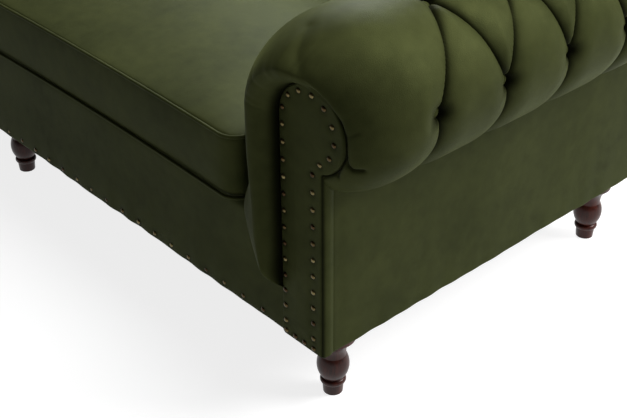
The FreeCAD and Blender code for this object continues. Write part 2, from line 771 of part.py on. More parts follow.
def mitre_prism(keeps_arm):
    """A prism on one side of the diagonal plane through the right rear corner."""
    far = float(S.back_thickness + S.roll_radius)
    corner_x, corner_y = float(half), float(rear_y)
    outer = Vector(corner_x + far, corner_y + far, 0)
    inner = Vector(corner_x - far, corner_y - far, 0)
    if keeps_arm:
        third = Vector(corner_x - far, corner_y + far, 0)
    else:
        third = Vector(corner_x + far, corner_y - far, 0)
    face = Part.Face(Part.makePolygon([outer, inner, third, outer]))
    return face.extrude(Vector(0, 0, float(roll_z) + far))


past_corner = float(roll_overhang + S.button_radius)
arm_stations = [(float(border_y), "")]
for number in range(2 * int(float(S.arm_tufts)) - 1):
    y = float(facing_y) + float(S.first_tuft) + number * float(S.tuft_pitch) / 2
    arm_stations.append((y, "crown" if number % 2 else "sides"))
arm_stations.append((arm_stations[-1][0] + float(S.tuft_pitch) / 2, ""))
arm_stations.append((float(rear_y) + past_corner, ""))

back_reach = int(float(S.back_tufts))
back_stations = [(-float(half) - past_corner, "")]
for number in range(-back_reach, back_reach + 1):
    x = number * float(S.tuft_pitch) / 2
    back_stations.append((x, "sides" if (number + back_reach) % 2 else "crown"))
back_stations.append((float(half) + past_corner, ""))

arm_sections = [shell_section(rows, float(S.arm_thickness), in_arm(y)) for y, rows in arm_stations]
arm_shell = Part.makeLoft(arm_sections, True, True).cut(mitre_prism(True))
back_sections = [shell_section(rows, float(S.back_thickness), in_back(x)) for x, rows in back_stations]
right_mitre = mitre_prism(False)
left_mitre = right_mitre.mirror(Vector(0, 0, 0), Vector(1, 0, 0))
back_shell = Part.makeLoft(back_sections, True, True).cut([right_mitre, left_mitre])


cheek_middle = 0.63


def front_ring(out, into):
    """The swelling round the facing: both boundaries moved towards each other."""
    edge = cover_edge("", float(S.arm_thickness))
    head = (float(S.scroll_inset), float(scroll_height))
    radius = float(S.scroll_radius) + float(S.soft_gap)
    side = head[0] + radius
    depth = float(S.arm_thickness)
    foot = float(S.cheek_foot)
    shoulder = float(S.cheek_shoulder)
    low = foot + float(S.cheek_rise)
    lip = float(S.cheek_edge)
    outer, middle, inner = (
        float(S.outer_row_angle), float(S.crown_row_angle), float(S.inner_row_angle))

    def between(a, b, share):
        return a[0] + (b[0] - a[0]) * share, a[1] + (b[1] - a[1]) * share

    neck = (skin_in - float(S.soft_gap), on_wall(radius, head)[1])
    pairs = [
        (edge[0][0], neck),
        (edge[0][1], polar(outer - float(S.under_roll_angle), radius, head)),
        (edge[0][2], polar(outer, radius, head)),
        (edge[1][1], polar((outer + middle) / 2, radius, head)),
        (edge[1][2], polar(middle, radius, head)),
        (edge[2][1], polar((middle + inner) / 2, radius, head)),
        (edge[2][2], polar(inner, radius, head)),
        ((depth, shoulder + (height_c - shoulder) * cheek_middle),
         (side, shoulder + (head[1] - shoulder) * cheek_middle)),
        ((depth, shoulder), (side, shoulder)),
        ((depth - float(S.cheek_pull), low), (side, low)),
        ((side + lip, foot), (side, foot + lip)),
    ]
    o = [between(a, b, out) for a, b in pairs]
    i = [between(b, a, into) for a, b in pairs]
    return [
        (o[0], o[1], o[2]), (o[2], o[3], o[4]), (o[4], o[5], o[6]), (o[6], o[7], o[8]),
        (o[8], o[9], o[10]), (o[10], i[10]), (i[10], i[9], i[8]) if into else (i[10], i[8]),
        (i[8], i[7], i[6]) if into else (i[8], i[6]), (i[6], i[5], i[4]), (i[4], i[3], i[2]),
        (i[2], i[1], i[0]), (i[0], o[0]),
    ]


# Each ring: its place along the arm, then how far its outer and its inner boundary have moved.
puff = float(S.front_puff)
ring_shares = [
    (float(S.border_step), 0.0, 0.0),
    (0.0, 0.05, 0.0),
    (-0.45 * puff, 0.16, 0.03),
    (-0.8 * puff, 0.34, 0.12),
    (-puff, 0.56, 0.30),
]
ring_wires = [
    Part.Wire(arc_edges(front_ring(out, into), in_arm(float(facing_y) + dy)))
    for dy, out, into in ring_shares
]
arm_front = Part.makeLoft(ring_wires, True, True)
print("arm shell", arm_shell.isValid(), round(arm_shell.Volume), len(arm_shell.Faces))
print("arm front", arm_front.isValid(), round(arm_front.Volume), len(arm_front.Faces))
print("back shell", back_shell.isValid(), round(back_shell.Volume), len(back_shell.Faces))
arm_cover_shape = arm_shell.fuse(arm_front).cut([board.Shape, facing.Shape])
print("arm cover", arm_cover_shape.isValid(), len(arm_cover_shape.Solids), round(arm_cover_shape.Volume))
keep_pair(feature("ArmCover", arm_cover_shape), "arm_cover")
keep(feature("BackCover", back_shell), "back_cover")

arm_foam = Part.Face(foam_section(in_arm(float(frame_y)))).extrude(
    Vector(0, float(rear_y + roll_overhang - frame_y), 0))
arm_wood = [post.Shape, arm_upright.Shape, arm_top_rail.Shape, arm_panel.Shape,
            back_top_rail.Shape, back_panel.Shape]
arm_foam = arm_foam.cut(arm_wood + [mitre_prism(True)])
keep_pair(feature("ArmFoam", arm_foam), "arm_foam")
back_length = float(half + roll_overhang) * 2
back_foam = Part.Face(foam_section(in_back(-back_length / 2))).extrude(Vector(back_length, 0, 0))
back_wood = [back_top_rail.Shape, back_panel.Shape, group.Shape, right_mitre, left_mitre]
for item in (post, arm_top_rail):
    back_wood.append(item.Shape)
    back_wood.append(item.Shape.mirror(Vector(0, 0, 0), Vector(1, 0, 0)))
back_foam = back_foam.cut(back_wood)
keep(feature("BackFoam", back_foam), "back_foam")
print("foams", arm_foam.isValid(), len(arm_foam.Solids), back_foam.isValid(), len(back_foam.Solids))

# Buttons: one master, set square to the roll at every tuft.

dome_flat = as_size(0.5)
dome_out, dome_up = 0.8, 0.65
button_profile = [
    [(S.button_radius, ZERO)],
    [(S.button_radius * dome_out, S.button_height * dome_up), (dome_flat, S.button_height)],
    [(ZERO, S.button_height)],
    [(ZERO, ZERO)],
]
button = turned("ButtonMaster", (ZERO, ZERO), button_profile)


def row_places(rows):
    """Angle and radius of each button at a station."""
    tuft = float(S.tuft_radius)
    if rows == "crown":
        return [(float(S.crown_row_angle), tuft)]
    return [(float(S.outer_row_angle), tuft), (float(S.inner_row_angle), float(S.inner_tuft_radius))]


def button_moves(stations, to_space, inner_limit):
    moves = []
    for along, rows in stations:
        if not rows:
            continue
        for angle, radius in row_places(rows):
            point = polar(angle, radius)
            if not inner_limit(along, point[0]):
                continue
            spot = to_space(along)(point)
            outward = to_space(along)(polar(angle, radius + 1)) - spot
            turn = FreeCAD.Rotation(Vector(0, 0, 1), outward)
            moves.append(FreeCAD.Placement(spot, turn))
    return moves


tuft_room = float(S.button_radius) * 2


def in_arm_mitre(y, inset):
    return float(rear_y) - y > inset + tuft_room


def in_back_mitre(x, inset):
    return float(half) - abs(x) > inset + tuft_room


keep_pair(copies("ArmButtons", button, button_moves(arm_stations, in_arm, in_arm_mitre)), "arm_buttons")
keep(copies("BackButtons", button, button_moves(back_stations, in_back, in_back_mitre)), "back_buttons")

# Nails: a domed head on the surface and a pin driven through into the wood.

head_out, head_up = 0.72, 0.7
nail_profile = [
    [(S.nail_pin_radius, -S.nail_pin_length)],
    [(S.nail_pin_radius, ZERO)],
    [(S.nail_head_radius, ZERO)],
    [(S.nail_head_radius * head_out, S.nail_head_height * head_up), (dome_flat, S.nail_head_height)],
    [(ZERO, S.nail_head_height)],
    [(ZERO, -S.nail_pin_length)],
]
nail = turned("NailMaster", (ZERO, -S.nail_pin_length), nail_profile)
face_forward = FreeCAD.Rotation(Vector(0, 0, 1), Vector(0, -1, 0))


def nail_runs():
    """The facing's nails: a line and a pitch for each column, the scroll and the lower edge."""
    outer = float(S.nail_outer_column)
    inner = float(S.nail_inner_column)
    radius = float(S.nail_circle_radius)
    centre = (inner - radius, float(scroll_height))
    foot = float(S.nail_foot)
    base = float(S.nail_base)
    neck_angle = float(S.nail_neck_angle)
    round_start = (inner, centre[1] - float(S.nail_circle_start))
    steps = 40
    circle = [polar(180 + (neck_angle - 180) * step / steps, radius, centre)
              for step in range(steps + 1)]
    round_end = (outer, circle[-1][1] - float(S.nail_slant))
    column_pitch = float(S.nail_pitch)
    return [
        ([(inner, foot), round_start], column_pitch),
        ([round_start] + circle + [round_end], float(S.nail_head_pitch)),
        ([round_end, (outer, foot)], column_pitch),
        ([(outer, base), (inner, base)], float(S.nail_base_pitch)),
    ]


def spaced(points, pitch):
    """Points at an even pitch, as near as fits, along a line of short pieces."""
    lengths = [math.dist(a, b) for a, b in zip(points, points[1:])]
    count = round(sum(lengths) / pitch)
    step = sum(lengths) / count
    result = [points[0]]
    travelled, goal = 0.0, step
    for (a, b), length in zip(zip(points, points[1:]), lengths):
        while goal <= travelled + length + 1e-6 and len(result) <= count:
            share = (goal - travelled) / length
            result.append((a[0] + (b[0] - a[0]) * share, a[1] + (b[1] - a[1]) * share))
            goal += step
        travelled += length
    return result


nail_spots = []
for line, pitch in nail_runs():
    run = spaced(line, pitch)
    nail_spots += run[1:] if nail_spots and math.dist(nail_spots[-1], run[0]) < pitch / 2 else run
facing_moves = [
    shift(float(half) - inset, facing_y, float(base_z) + height, face_forward)
    for inset, height in nail_spots
]
keep_pair(copies("FacingNails", nail, facing_moves), "facing_nails")

border_reach = float(half - facing_inset - S.border_nail_margin)
border_count = round(2 * border_reach / float(S.border_nail_pitch))
border_moves = [
    shift(-border_reach + 2 * border_reach * number / border_count, border_y,
          base_z + S.border_nail_base, face_forward)
    for number in range(border_count + 1)
]
keep(copies("BorderNails", nail, border_moves), "border_nails")
print("nails", len(nail_spots), "on each facing,", len(border_moves), "on the border")

# Seat cushions: a crowned cover with drawn-in sides round a foam block, piped top and bottom.

cushion_x = (float(S.cushion_gap), float(half - S.arm_thickness - S.cushion_gap))
cushion_y = (float(facing_y - S.cushion_overhang), float(rear_y - S.back_thickness - S.cushion_gap))
cushion_z = float(seat_z)
boxing = float(S.boxing_height)
crown = float(S.cushion_crown)
piping = float(S.piping_radius)


def cushion_wire(z, inset):
    """Four drawn-in sides that run smoothly into four round corners, at one height."""
    middle = Vector(sum(cushion_x) / 2, sum(cushion_y) / 2, z)
    reach_x = (cushion_x[1] - cushion_x[0]) / 2 - inset
    reach_y = (cushion_y[1] - cushion_y[0]) / 2 - inset
    radius = float(S.cushion_corner)
    bend = 2 * math.atan(float(S.cushion_draw) / (max(reach_x, reach_y) - radius))
    corner_rise = radius * math.sqrt(0.5) * math.tan((math.pi / 4 + bend) / 2)
    corner_middle = radius / 2 - corner_rise * math.sqrt(0.5)
    ring = []
    for quarter in range(4):
        turn = FreeCAD.Rotation(Vector(0, 0, 1), 90 * quarter)
        along, out = (reach_x, reach_y) if quarter % 2 == 0 else (reach_y, reach_x)
        drawn = (along - radius) * math.tan(bend / 2)
        side = [(radius - along, -out), (0, drawn - out), (along - radius, -out)]
        corner = [side[2], (along - corner_middle, corner_middle - out), (along, radius - out)]
        ring += [[turn.multVec(Vector(*point, 0)) for point in part] for part in (side, corner)]
    return Part.Wire(arc_edges(ring, lambda point: middle + point))


seam_inset = 2 * piping
side_levels = [0.3, 0.7]
crown_levels = [(0.35, 0.1), (0.7, 0.28), (0.92, 0.52), (1.0, 0.73)]
half_cushion = (cushion_y[1] - cushion_y[0]) / 2
cushion_levels = [(0.0, seam_inset), (2 * piping, seam_inset)]
cushion_levels += [(boxing * share, float(S.boxing_inset)) for share in side_levels]
cushion_levels += [(boxing - piping, seam_inset), (boxing + piping, seam_inset)]
cushion_levels += [(boxing + crown * rise, half_cushion * share) for rise, share in crown_levels]
cushion_outside = Part.makeLoft(
    [cushion_wire(cushion_z + z, inset) for z, inset in cushion_levels], True, True)
wall = float(S.cushion_wall)
foam_block = Part.makeBox(
    cushion_x[1] - cushion_x[0] - 2 * wall,
    cushion_y[1] - cushion_y[0] - 2 * wall,
    boxing - wall / 2,
    Vector(cushion_x[0] + wall, cushion_y[0] + wall, cushion_z + wall / 2),
)
cushion_foam = foam_block.makeFillet(wall, foam_block.Edges)
keep_pair(feature("CushionFoam", cushion_foam), "cushion_foam")
keep_pair(feature("CushionCover", cushion_outside.cut(cushion_foam)), "cushion_cover")


def piping_loop(z):
    path = cushion_wire(z, piping)
    start = path.Edges[0].Vertexes[0].Point
    way = path.Edges[0].tangentAt(path.Edges[0].FirstParameter)
    circle = Part.Wire(Part.Circle(start, way, piping).toShape())
    loop = path.makePipeShell([circle], True, False)
    expected = path.Length * math.pi * piping ** 2
    print("piping", loop.isValid(), "volume", round(loop.Volume), "expected", round(expected))
    return loop


loops = [piping_loop(cushion_z + piping), piping_loop(cushion_z + boxing)]
keep_pair(feature("CushionPiping", Part.makeCompound(loops)), "cushion_piping")

# The left side, and the files.

for name in mirrored:
    mirror = doc.addObject("Part::Mirroring", "Left_" + name)
    mirror.Source = pieces["right_" + name]
    mirror.Normal = Vector(1, 0, 0)
    keep(mirror, "left_" + name)
doc.recompute()

for obj in doc.Objects:
    if "Invalid" in obj.State or "Error" in obj.State:
        raise RuntimeError(f"{obj.Label} did not compute")

os.makedirs("parts", exist_ok=True)
for label, obj in sorted(pieces.items()):
    shape = obj.Shape
    if shape.isNull() or not shape.isValid() or not shape.Solids:
        raise RuntimeError(f"{label} has no valid shape")
    shape.exportStep(f"parts/{label}.step")
    print(f"{label}: {len(shape.Solids)} solids, {shape.Volume / 1000:.0f} cm3")
print(len(pieces), "pieces")
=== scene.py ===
# %% [markdown]
# # A buttoned velvet sofa
# A chesterfield is a hardwood frame under thick padding. Velvet is pulled over it and held
# down by deep buttons, so the cloth swells between them into diamonds. The frame comes from
# the CAD model. This lesson adds what upholstery looks like: soft tufted covers, cushions
# with piped seams, domed nails, turned feet and the sheen of the cloth.

# %% Load the frame
import bpy
import bmesh
import math
import numpy as np
from mathutils import Matrix, Vector
from mathutils.kdtree import KDTree


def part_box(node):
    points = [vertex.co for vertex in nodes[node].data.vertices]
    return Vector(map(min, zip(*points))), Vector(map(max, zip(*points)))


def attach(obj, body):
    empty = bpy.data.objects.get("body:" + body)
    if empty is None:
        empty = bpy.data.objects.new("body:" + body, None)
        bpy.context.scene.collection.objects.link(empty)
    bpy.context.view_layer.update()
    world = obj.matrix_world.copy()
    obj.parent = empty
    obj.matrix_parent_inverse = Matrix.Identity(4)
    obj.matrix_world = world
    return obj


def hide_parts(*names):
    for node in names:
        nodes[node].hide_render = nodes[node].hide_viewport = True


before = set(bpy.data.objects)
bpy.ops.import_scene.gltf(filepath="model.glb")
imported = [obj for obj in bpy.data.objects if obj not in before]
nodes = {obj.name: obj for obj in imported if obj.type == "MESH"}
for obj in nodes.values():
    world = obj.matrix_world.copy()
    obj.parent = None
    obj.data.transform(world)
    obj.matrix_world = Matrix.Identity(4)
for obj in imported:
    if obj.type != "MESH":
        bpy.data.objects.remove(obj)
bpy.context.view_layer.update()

# %% [markdown]
# ## Planes that the pieces share
# Every piece sits where the CAD piece sits, so the common planes are read from its boxes.
# An inset is a distance inwards from the base's outer wall, and a height is above the base's
# lower edge. The roll of the arm is nearly a circle in those two numbers.

# %% Shared planes and sizes
MM = 0.001
outer_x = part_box("right_outside_arm")[1].x
rear_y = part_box("outside_back")[1].y
facing_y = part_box("right_arm_facing")[0].y
base_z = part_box("front_rail")[0].z
seat_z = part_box("right_cushion_cover")[0].z
border_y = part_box("front_border")[0].y
ROLL_INSET = 28 * MM
ROLL_HEIGHT = 432 * MM
ROLL_RADIUS = 135 * MM
CROWN_RADIUS = 140 * MM
ARM_DEPTH = 195 * MM
BACK_DEPTH = 235 * MM
HEAD_INSET = 27 * MM
HEAD_HEIGHT = 415 * MM
HEAD_RADIUS = 72 * MM
seat_height = seat_z - base_z
print("outer wall x, facing y, rear y", [round(v, 4) for v in (outer_x, facing_y, rear_y)])

# %% [markdown]
# ## Camera
# The camera stands in front of the sofa's near corner and looks down at it. Its place, turn
# and lens were worked out from the photograph's straight edges, with the nail spacing as the
# unit, so the same corner of the sofa fills the same part of the picture.

# %% Camera
CORNER_TO_CAMERA = Vector((1148.1, -1049.6, 1308.7)) * MM
VIEW_RIGHT = Vector((0.67097, 0.74146, -0.00599))
VIEW_UP = Vector((-0.40268, 0.37115, 0.83672))
VIEW_BACK = Vector((0.62261, -0.55900, 0.54760))
LENS_MM = 71.67
near_corner = Vector((outer_x, facing_y, base_z))
camera = bpy.data.objects.new("camera", bpy.data.cameras.new("camera"))
camera.data.sensor_width = 36.0
camera.data.lens = LENS_MM
camera.data.clip_start = 0.05
camera.data.clip_end = 50
turn = Matrix((VIEW_RIGHT, VIEW_UP, VIEW_BACK)).transposed()
camera.matrix_world = Matrix.Translation(near_corner + CORNER_TO_CAMERA) @ turn.to_4x4()
bpy.context.scene.collection.objects.link(camera)
bpy.context.scene.camera = camera
print("camera at", [round(v, 3) for v in camera.matrix_world.translation])

# %% [markdown]
# ## Node helpers
# A procedural material is a small graph. These helpers add a node with its values and make
# the links, so each material below reads as a list of what it is made of.

# %% Material helpers
def new_material(name):
    material = bpy.data.materials.new(name)
    material.use_nodes = True
    tree = material.node_tree
    shader = tree.nodes["Principled BSDF"]
    return material, tree, shader


def add(tree, kind, links=None, **values):
    """A node with its settings, and its inputs set to numbers or linked to outputs."""
    node = tree.nodes.new(kind)
    for key, value in values.items():
        setattr(node, key, value)
    for socket, value in (links or {}).items():
        if hasattr(value, "is_output"):
            tree.links.new(value, node.inputs[socket])
        else:
            node.inputs[socket].default_value = value
    return node


def ramp(tree, factor, stops):
    """A colour ramp from (position, colour) pairs."""
    node = add(tree, "ShaderNodeValToRGB", {"Fac": factor})
    while len(node.color_ramp.elements) < len(stops):
        node.color_ramp.elements.new(0.5)
    for element, (position, colour) in zip(node.color_ramp.elements, stops):
        element.position = position
        element.color = (*colour, 1)
    return node.outputs["Color"]


def linear(red, green, blue):
    """An sRGB colour, 0 to 255, as the linear numbers that a shader takes."""
    result = []
    for value in (red, green, blue):
        share = value / 255
        result.append(share / 12.92 if share <= 0.04045 else ((share + 0.055) / 1.055) ** 2.4)
    return tuple(result)


def noise(tree, place, scale, detail=2.0):
    return add(tree, "ShaderNodeTexNoise",
               {"Vector": place, "Scale": scale, "Detail": detail}).outputs["Fac"]


def mix(tree, share, a, b):
    return add(tree, "ShaderNodeMix", {"Factor": share, "A": a, "B": b},
               data_type="FLOAT").outputs["Result"]


def blend(tree, share, a, b):
    """A mix of two colours, each a colour output or three numbers."""
    node = add(tree, "ShaderNodeMix", {0: share}, data_type="RGBA")
    for socket, value in ((node.inputs[6], a), (node.inputs[7], b)):
        if hasattr(value, "is_output"):
            tree.links.new(value, socket)
        else:
            socket.default_value = (*value, 1)
    return node.outputs[2]


def bump(tree, height, strength, distance, normal=None):
    links = {"Height": height, "Strength": strength, "Distance": distance}
    if normal is not None:
        links["Normal"] = normal
    return add(tree, "ShaderNodeBump", links).outputs["Normal"]


# %% [markdown]
# ## Velvet
# Velvet is a short upright pile. Seen along the fibres it is dark, and at a grazing angle the
# fibre tips light up, so a round form gets a bright rim. The shader's sheen does that, and a
# share of tinted metal keeps the gloss as green as the cloth, where plain gloss would lay a
# grey veil on it. The pile also leans a little differently from place to place, which shows
# as soft clouds of tone. Down in a pleat hardly any light comes out again, and that shade is
# painted into the colour: each cover carries a number, 0 on the open cloth and 1 in a fold, that
# darkens the colour towards near black. The same painted shade lies round buttons and nails
# and in seams and gaps.

# %% Velvet material
PILE_GRAIN = 900.0
BRUSH_MARKS = 45.0
CLOUDS = 7.0


def velvet_material(name, dark, light, deep):
    material, tree, shader = new_material(name)
    place = add(tree, "ShaderNodeTexCoord").outputs["Object"]
    cloud = noise(tree, place, CLOUDS, 3.0)
    brushed = noise(tree, place, BRUSH_MARKS, 4.0)
    grain = noise(tree, place, PILE_GRAIN)
    tone = mix(tree, 0.22, mix(tree, 0.4, cloud, brushed), grain)
    cloth = ramp(tree, tone, [(0.36, dark), (0.62, light)])
    # Painted shade: this number blends the cloth towards the near-black third colour in folds,
    # pits, seams and gaps.
    crease = add(tree, "ShaderNodeAttribute", attribute_name="crease").outputs["Fac"]
    tree.links.new(blend(tree, crease, cloth, deep), shader.inputs["Base Color"])
    rough = bump(tree, grain, 0.45, 0.0008)
    tree.links.new(bump(tree, brushed, 0.22, 0.0016, rough), shader.inputs["Normal"])
    shader.inputs["Roughness"].default_value = 0.56
    shader.inputs["Metallic"].default_value = 0.32
    shader.inputs["Specular IOR Level"].default_value = 0.08
    shader.inputs["Specular Tint"].default_value = (*linear(146, 156, 90), 1)
    shader.inputs["Sheen Weight"].default_value = 0.14
    shader.inputs["Sheen Roughness"].default_value = 0.35
    shader.inputs["Sheen Tint"].default_value = (*linear(178, 188, 116), 1)
    return material


# The third colour is the near black of the painted shade.
velvet = velvet_material("olive_velvet", linear(50, 54, 29), linear(64, 68, 38), linear(5, 5, 3))
print("velvet", velvet.name)

# %% [markdown]
# ## The roll's profile
# One curve is the base of all three tufted covers: it starts in the seam under the roll, goes
# round the roll and over its crown, and comes down the inner face to the seat. It is sampled
# at even steps, because cloth has a length, and buttons are spaced along that length.

# %% Profile of the roll
SEAM_ANGLE = -79
SEAM_INSET, SEAM_HEIGHT = 10 * MM, 303.5 * MM
OUTER_ROW, CROWN_ROW, INNER_ROW = 2, 83, 164


def ease(share):
    """A soft start and a soft end between 0 and 1."""
    share = np.clip(share, 0, 1)
    return share * share * (3 - 2 * share)


def roll_point(angle):
    """Inset and height on the roll at an angle from the outward direction, over the crown."""
    turn = math.radians(angle)
    if angle <= 90:
        radius = ROLL_RADIUS + (CROWN_RADIUS - ROLL_RADIUS) * ease(angle / 90)
        return ROLL_INSET - radius * math.cos(turn), ROLL_HEIGHT + radius * math.sin(turn)
    reach = ARM_DEPTH - ROLL_INSET
    return ROLL_INSET - reach * math.cos(turn), ROLL_HEIGHT + CROWN_RADIUS * math.sin(turn)


def cover_profile(foot_inset, step):
    """Even points down the profile: their length, inset and height, and the button rows."""
    angles = list(range(SEAM_ANGLE, 181))
    points = [(SEAM_INSET, SEAM_HEIGHT)] + [roll_point(angle) for angle in angles]
    for share in np.linspace(0, 1, 25)[1:]:
        points.append((ARM_DEPTH + (foot_inset - ARM_DEPTH) * ease(share),
                       ROLL_HEIGHT + (seat_height - ROLL_HEIGHT) * share))
    points = np.array(points)
    lengths = np.r_[0, np.cumsum(np.linalg.norm(np.diff(points, axis=0), axis=1))]
    rows = [lengths[1 + angles.index(angle)] for angle in (OUTER_ROW, CROWN_ROW, INNER_ROW)]
    even = np.linspace(0, lengths[-1], round(lengths[-1] / step) + 1)
    inset = np.interp(even, lengths, points[:, 0])
    height = np.interp(even, lengths, points[:, 1])
    return even, inset, height, rows


def outward(inset, height):
    """The outward direction of the profile at each of its points."""
    along_inset, along_height = np.gradient(inset), np.gradient(height)
    size = np.hypot(along_inset, along_height)
    return -along_height / size, along_inset / size


# %% [markdown]
# ## Tufting
# Buttons stand in three rows: on the outer side of the roll, on its crown and on its inner
# side. The crown row is half a pitch out of step, so pleats between neighbours make diamonds,
# and a straight pleat runs from each side button to the seam or the seat. The cover is a grid
# pushed inwards by a depth that is worked out from the distance to the nearest pleats and
# buttons. A pleat is a narrow fold with a wide soft shoulder, so its depth follows a
# curve like a quarter of a circle: it drops straight into the fold and leaves it as a round
# puff. Each puff also leans a little over the fold behind it, which hides the buttons deep in
# their pits. The grid's lines are first gathered towards the pleats, so that a fold only a few
# millimetres wide still gets enough points to be sharp.

# %% The depth of pleats and buttons
TUFT_PITCH = 150 * MM
PLEAT_MIDDLE = 15 * MM
PLEAT_END = 24 * MM
PLEAT_SEAM = 14 * MM
PUFF_WIDTH = 46 * MM
PIT_DEPTH = 25 * MM
PIT_FLOOR = 9 * MM
PIT_WIDTH = 36 * MM
SHARPNESS = 5
# The width of the painted shade along a fold, and how much it widens where the fold is deepest.
FOLD_SHADE_WIDTH, FOLD_SHADE_WIDENING = 3.8 * MM, 6.5 * MM
PIT_SHADE = 14 * MM
FOLD_LEAN, FOLD_LEAN_REACH = 4.0 * MM, 5 * MM
PIT_LEAN, PIT_LEAN_REACH = 6.0 * MM, 12 * MM
GATHER_WIDTH = 7 * MM
GATHER = 0.6


def pleats_and_buttons(numbers, side_rows, top, bottom, rng):
    """Folds and buttons on the unrolled cloth: x is the place along the roll, y the profile."""
    outer, crown, inner = side_rows
    folds, buttons = [], []
    for number in numbers:
        place = number * TUFT_PITCH
        crowns = [place - TUFT_PITCH / 2, place + TUFT_PITCH / 2]
        for row, end in ((outer, bottom), (inner, top)):
            buttons.append((place, row))
            drift = rng.uniform(-6, 6) * MM
            bow = rng.uniform(3, 7) * MM
            folds.append((place, row, place + drift, end, PLEAT_END, PLEAT_SEAM, bow))
            for crown_place in crowns:
                bow = rng.uniform(-3, 3) * MM
                folds.append((place, row, crown_place, crown, PLEAT_END, PLEAT_END, bow))
        buttons.append((crowns[1], crown))
    return folds, buttons


def beside_fold(along, across, fold):
    """Share of the way down a fold, and the distance to its side and past its ends."""
    x0, y0, x1, y1 = fold[:4]
    bow = fold[6]
    run = np.array([x1 - x0, y1 - y0])
    length = np.hypot(*run)
    share = ((along - x0) * run[0] + (across - y0) * run[1]) / length ** 2
    inside = np.clip(share, 0, 1)
    side = ((along - x0) * -run[1] + (across - y0) * run[0]) / length
    side = side - bow * np.sin(2 * math.pi * inside if abs(run[0]) < 0.02 else math.pi * inside)
    return inside, side, (share - inside) * length, (-run[1] / length, run[0] / length)


def gather(along, across, folds):
    """The grid with its lines drawn together at the folds."""
    move_along = np.zeros(np.broadcast(along, across).shape)
    move_across = move_along.copy()
    for fold in folds:
        side, past, way = beside_fold(along, across, fold)[1:]
        near = GATHER * side * np.exp(-(side ** 2 + past ** 2) / GATHER_WIDTH ** 2)
        move_along -= near * way[0]
        move_across -= near * way[1]
    return along + move_along, across + move_across


def puff(distance, width):
    """1 in the fold and 0 from one width away, like a quarter of a circle."""
    return 1 - np.sqrt(1 - np.clip(1 - distance / width, 0, 1) ** 2)


def lean_over(distance, reach):
    return distance / reach * np.exp(1 - distance / reach)


def tuft_depth(along, across, folds, buttons):
    """How far each point is drawn in, the painted shade that its folds and pits give it, and its
    lean.
    """
    total = np.zeros(np.broadcast(along, across).shape)
    crease, lean = total.copy(), total.copy()
    for fold in folds:
        inside, side, past, way = beside_fold(along, across, fold)
        distance = np.hypot(side, past)
        near_start = np.clip(1 - inside * 2, 0, 1) ** 1.2
        near_end = np.clip(inside * 2 - 1, 0, 1) ** 1.2
        depth = (PLEAT_MIDDLE + (fold[4] - PLEAT_MIDDLE) * near_start
                 + (fold[5] - PLEAT_MIDDLE) * near_end)
        total += (depth * puff(distance, PUFF_WIDTH)) ** SHARPNESS
        strength = np.clip(depth / PLEAT_MIDDLE, 0, 1)
        deepest = np.clip((depth - PLEAT_MIDDLE) / (PLEAT_END - PLEAT_MIDDLE), 0, 1)
        # Painted shade along the fold, wider where the fold is deepest.
        closed = FOLD_SHADE_WIDTH + FOLD_SHADE_WIDENING * deepest
        crease = np.maximum(crease, 0.9 * np.exp(-(distance / closed) ** 2) * strength)
        front = 0.5 - 0.5 * np.tanh(side * way[0] / 0.002)
        lean = np.maximum(lean, FOLD_LEAN * lean_over(distance, FOLD_LEAN_REACH)
                          * front * strength * abs(way[0]))
    for x, y in buttons:
        distance = np.hypot(along - x, across - y)
        beyond = np.maximum(distance - PIT_FLOOR, 0)
        total += (PIT_DEPTH * puff(beyond, PIT_WIDTH)) ** SHARPNESS
        # Painted shade in and round each button's pit.
        crease = np.maximum(crease, np.exp(-(beyond / PIT_SHADE) ** 2))
        front = np.clip((x - along) / (distance + 1e-6), 0, 1)
        lean = np.maximum(lean, PIT_LEAN * lean_over(distance, PIT_LEAN_REACH) * front)
    return np.minimum(total ** (1 / SHARPNESS), PIT_DEPTH + 1 * MM), crease, lean


# %% [markdown]
# ## From a grid of points to a piece
# A cover is a sheet of rows and columns. Its points become one mesh, with the left-hand piece
# mirrored. Turning the faces of a mirrored sheet the other way keeps them pointing outwards.

# %% Grid meshes
def grid_faces(rows, columns, first=0, flip=False):
    index = first + np.arange(rows * columns).reshape(rows, columns)
    quads = [index[:-1, :-1], index[1:, :-1], index[1:, 1:], index[:-1, 1:]]
    quads = np.stack([q.ravel() for q in quads], axis=1)
    return quads[:, ::-1] if flip else quads


def new_piece(name, points, faces, material, smooth=True, crease=None):
    mesh = bpy.data.meshes.new(name)
    mesh.from_pydata(np.asarray(points).reshape(-1, 3).tolist(), [],
                     [list(map(int, face)) for face in faces])
    # A cover's painted shade is kept on its points for the velvet to read.
    if crease is not None:
        values = mesh.attributes.new("crease", "FLOAT", "POINT")
        values.data.foreach_set("value", np.asarray(crease, dtype=np.float32).ravel())
    mesh.update()
    mesh.materials.append(material)
    if smooth:
        mesh.shade_smooth()
    piece = bpy.data.objects.new(name, mesh)
    bpy.context.scene.collection.objects.link(piece)
    return piece


def weld(piece, distance=0.0002):
    """Join the points that lie together, and point all the faces outwards."""
    work = bmesh.new()
    work.from_mesh(piece.data)
    bmesh.ops.remove_doubles(work, verts=work.verts, dist=distance)
    bmesh.ops.recalc_face_normals(work, faces=work.faces)
    work.to_mesh(piece.data)
    work.free()
    piece.data.shade_smooth()
    return piece


def side_name(side):
    return "right" if side > 0 else "left"


def dress(piece, replaced=(), body="frame"):
    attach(piece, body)
    if replaced:
        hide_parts(*replaced)
    print(piece.name, len(piece.data.polygons), "faces")
    return piece


# %% [markdown]
# ## Arm cover
# The arm's padding is one long tufted sheet that ends in a thick soft lip round the nailed
# facing. On its outer side the lip is a plain rounded lobe. Over the top it swells out in
# front of the facing and dives in behind its edge, with small gathers where the cloth of the
# outer side has to fit the shorter way round. Below the seat it narrows into a cheek beside
# the front border. Each column of the lip runs from the sheet to the facing's edge, and its
# shape is read from a short table by its angle round the roll, with lengths in millimetres.
# The cheek is one smooth curve, given by the inset and height of three points.

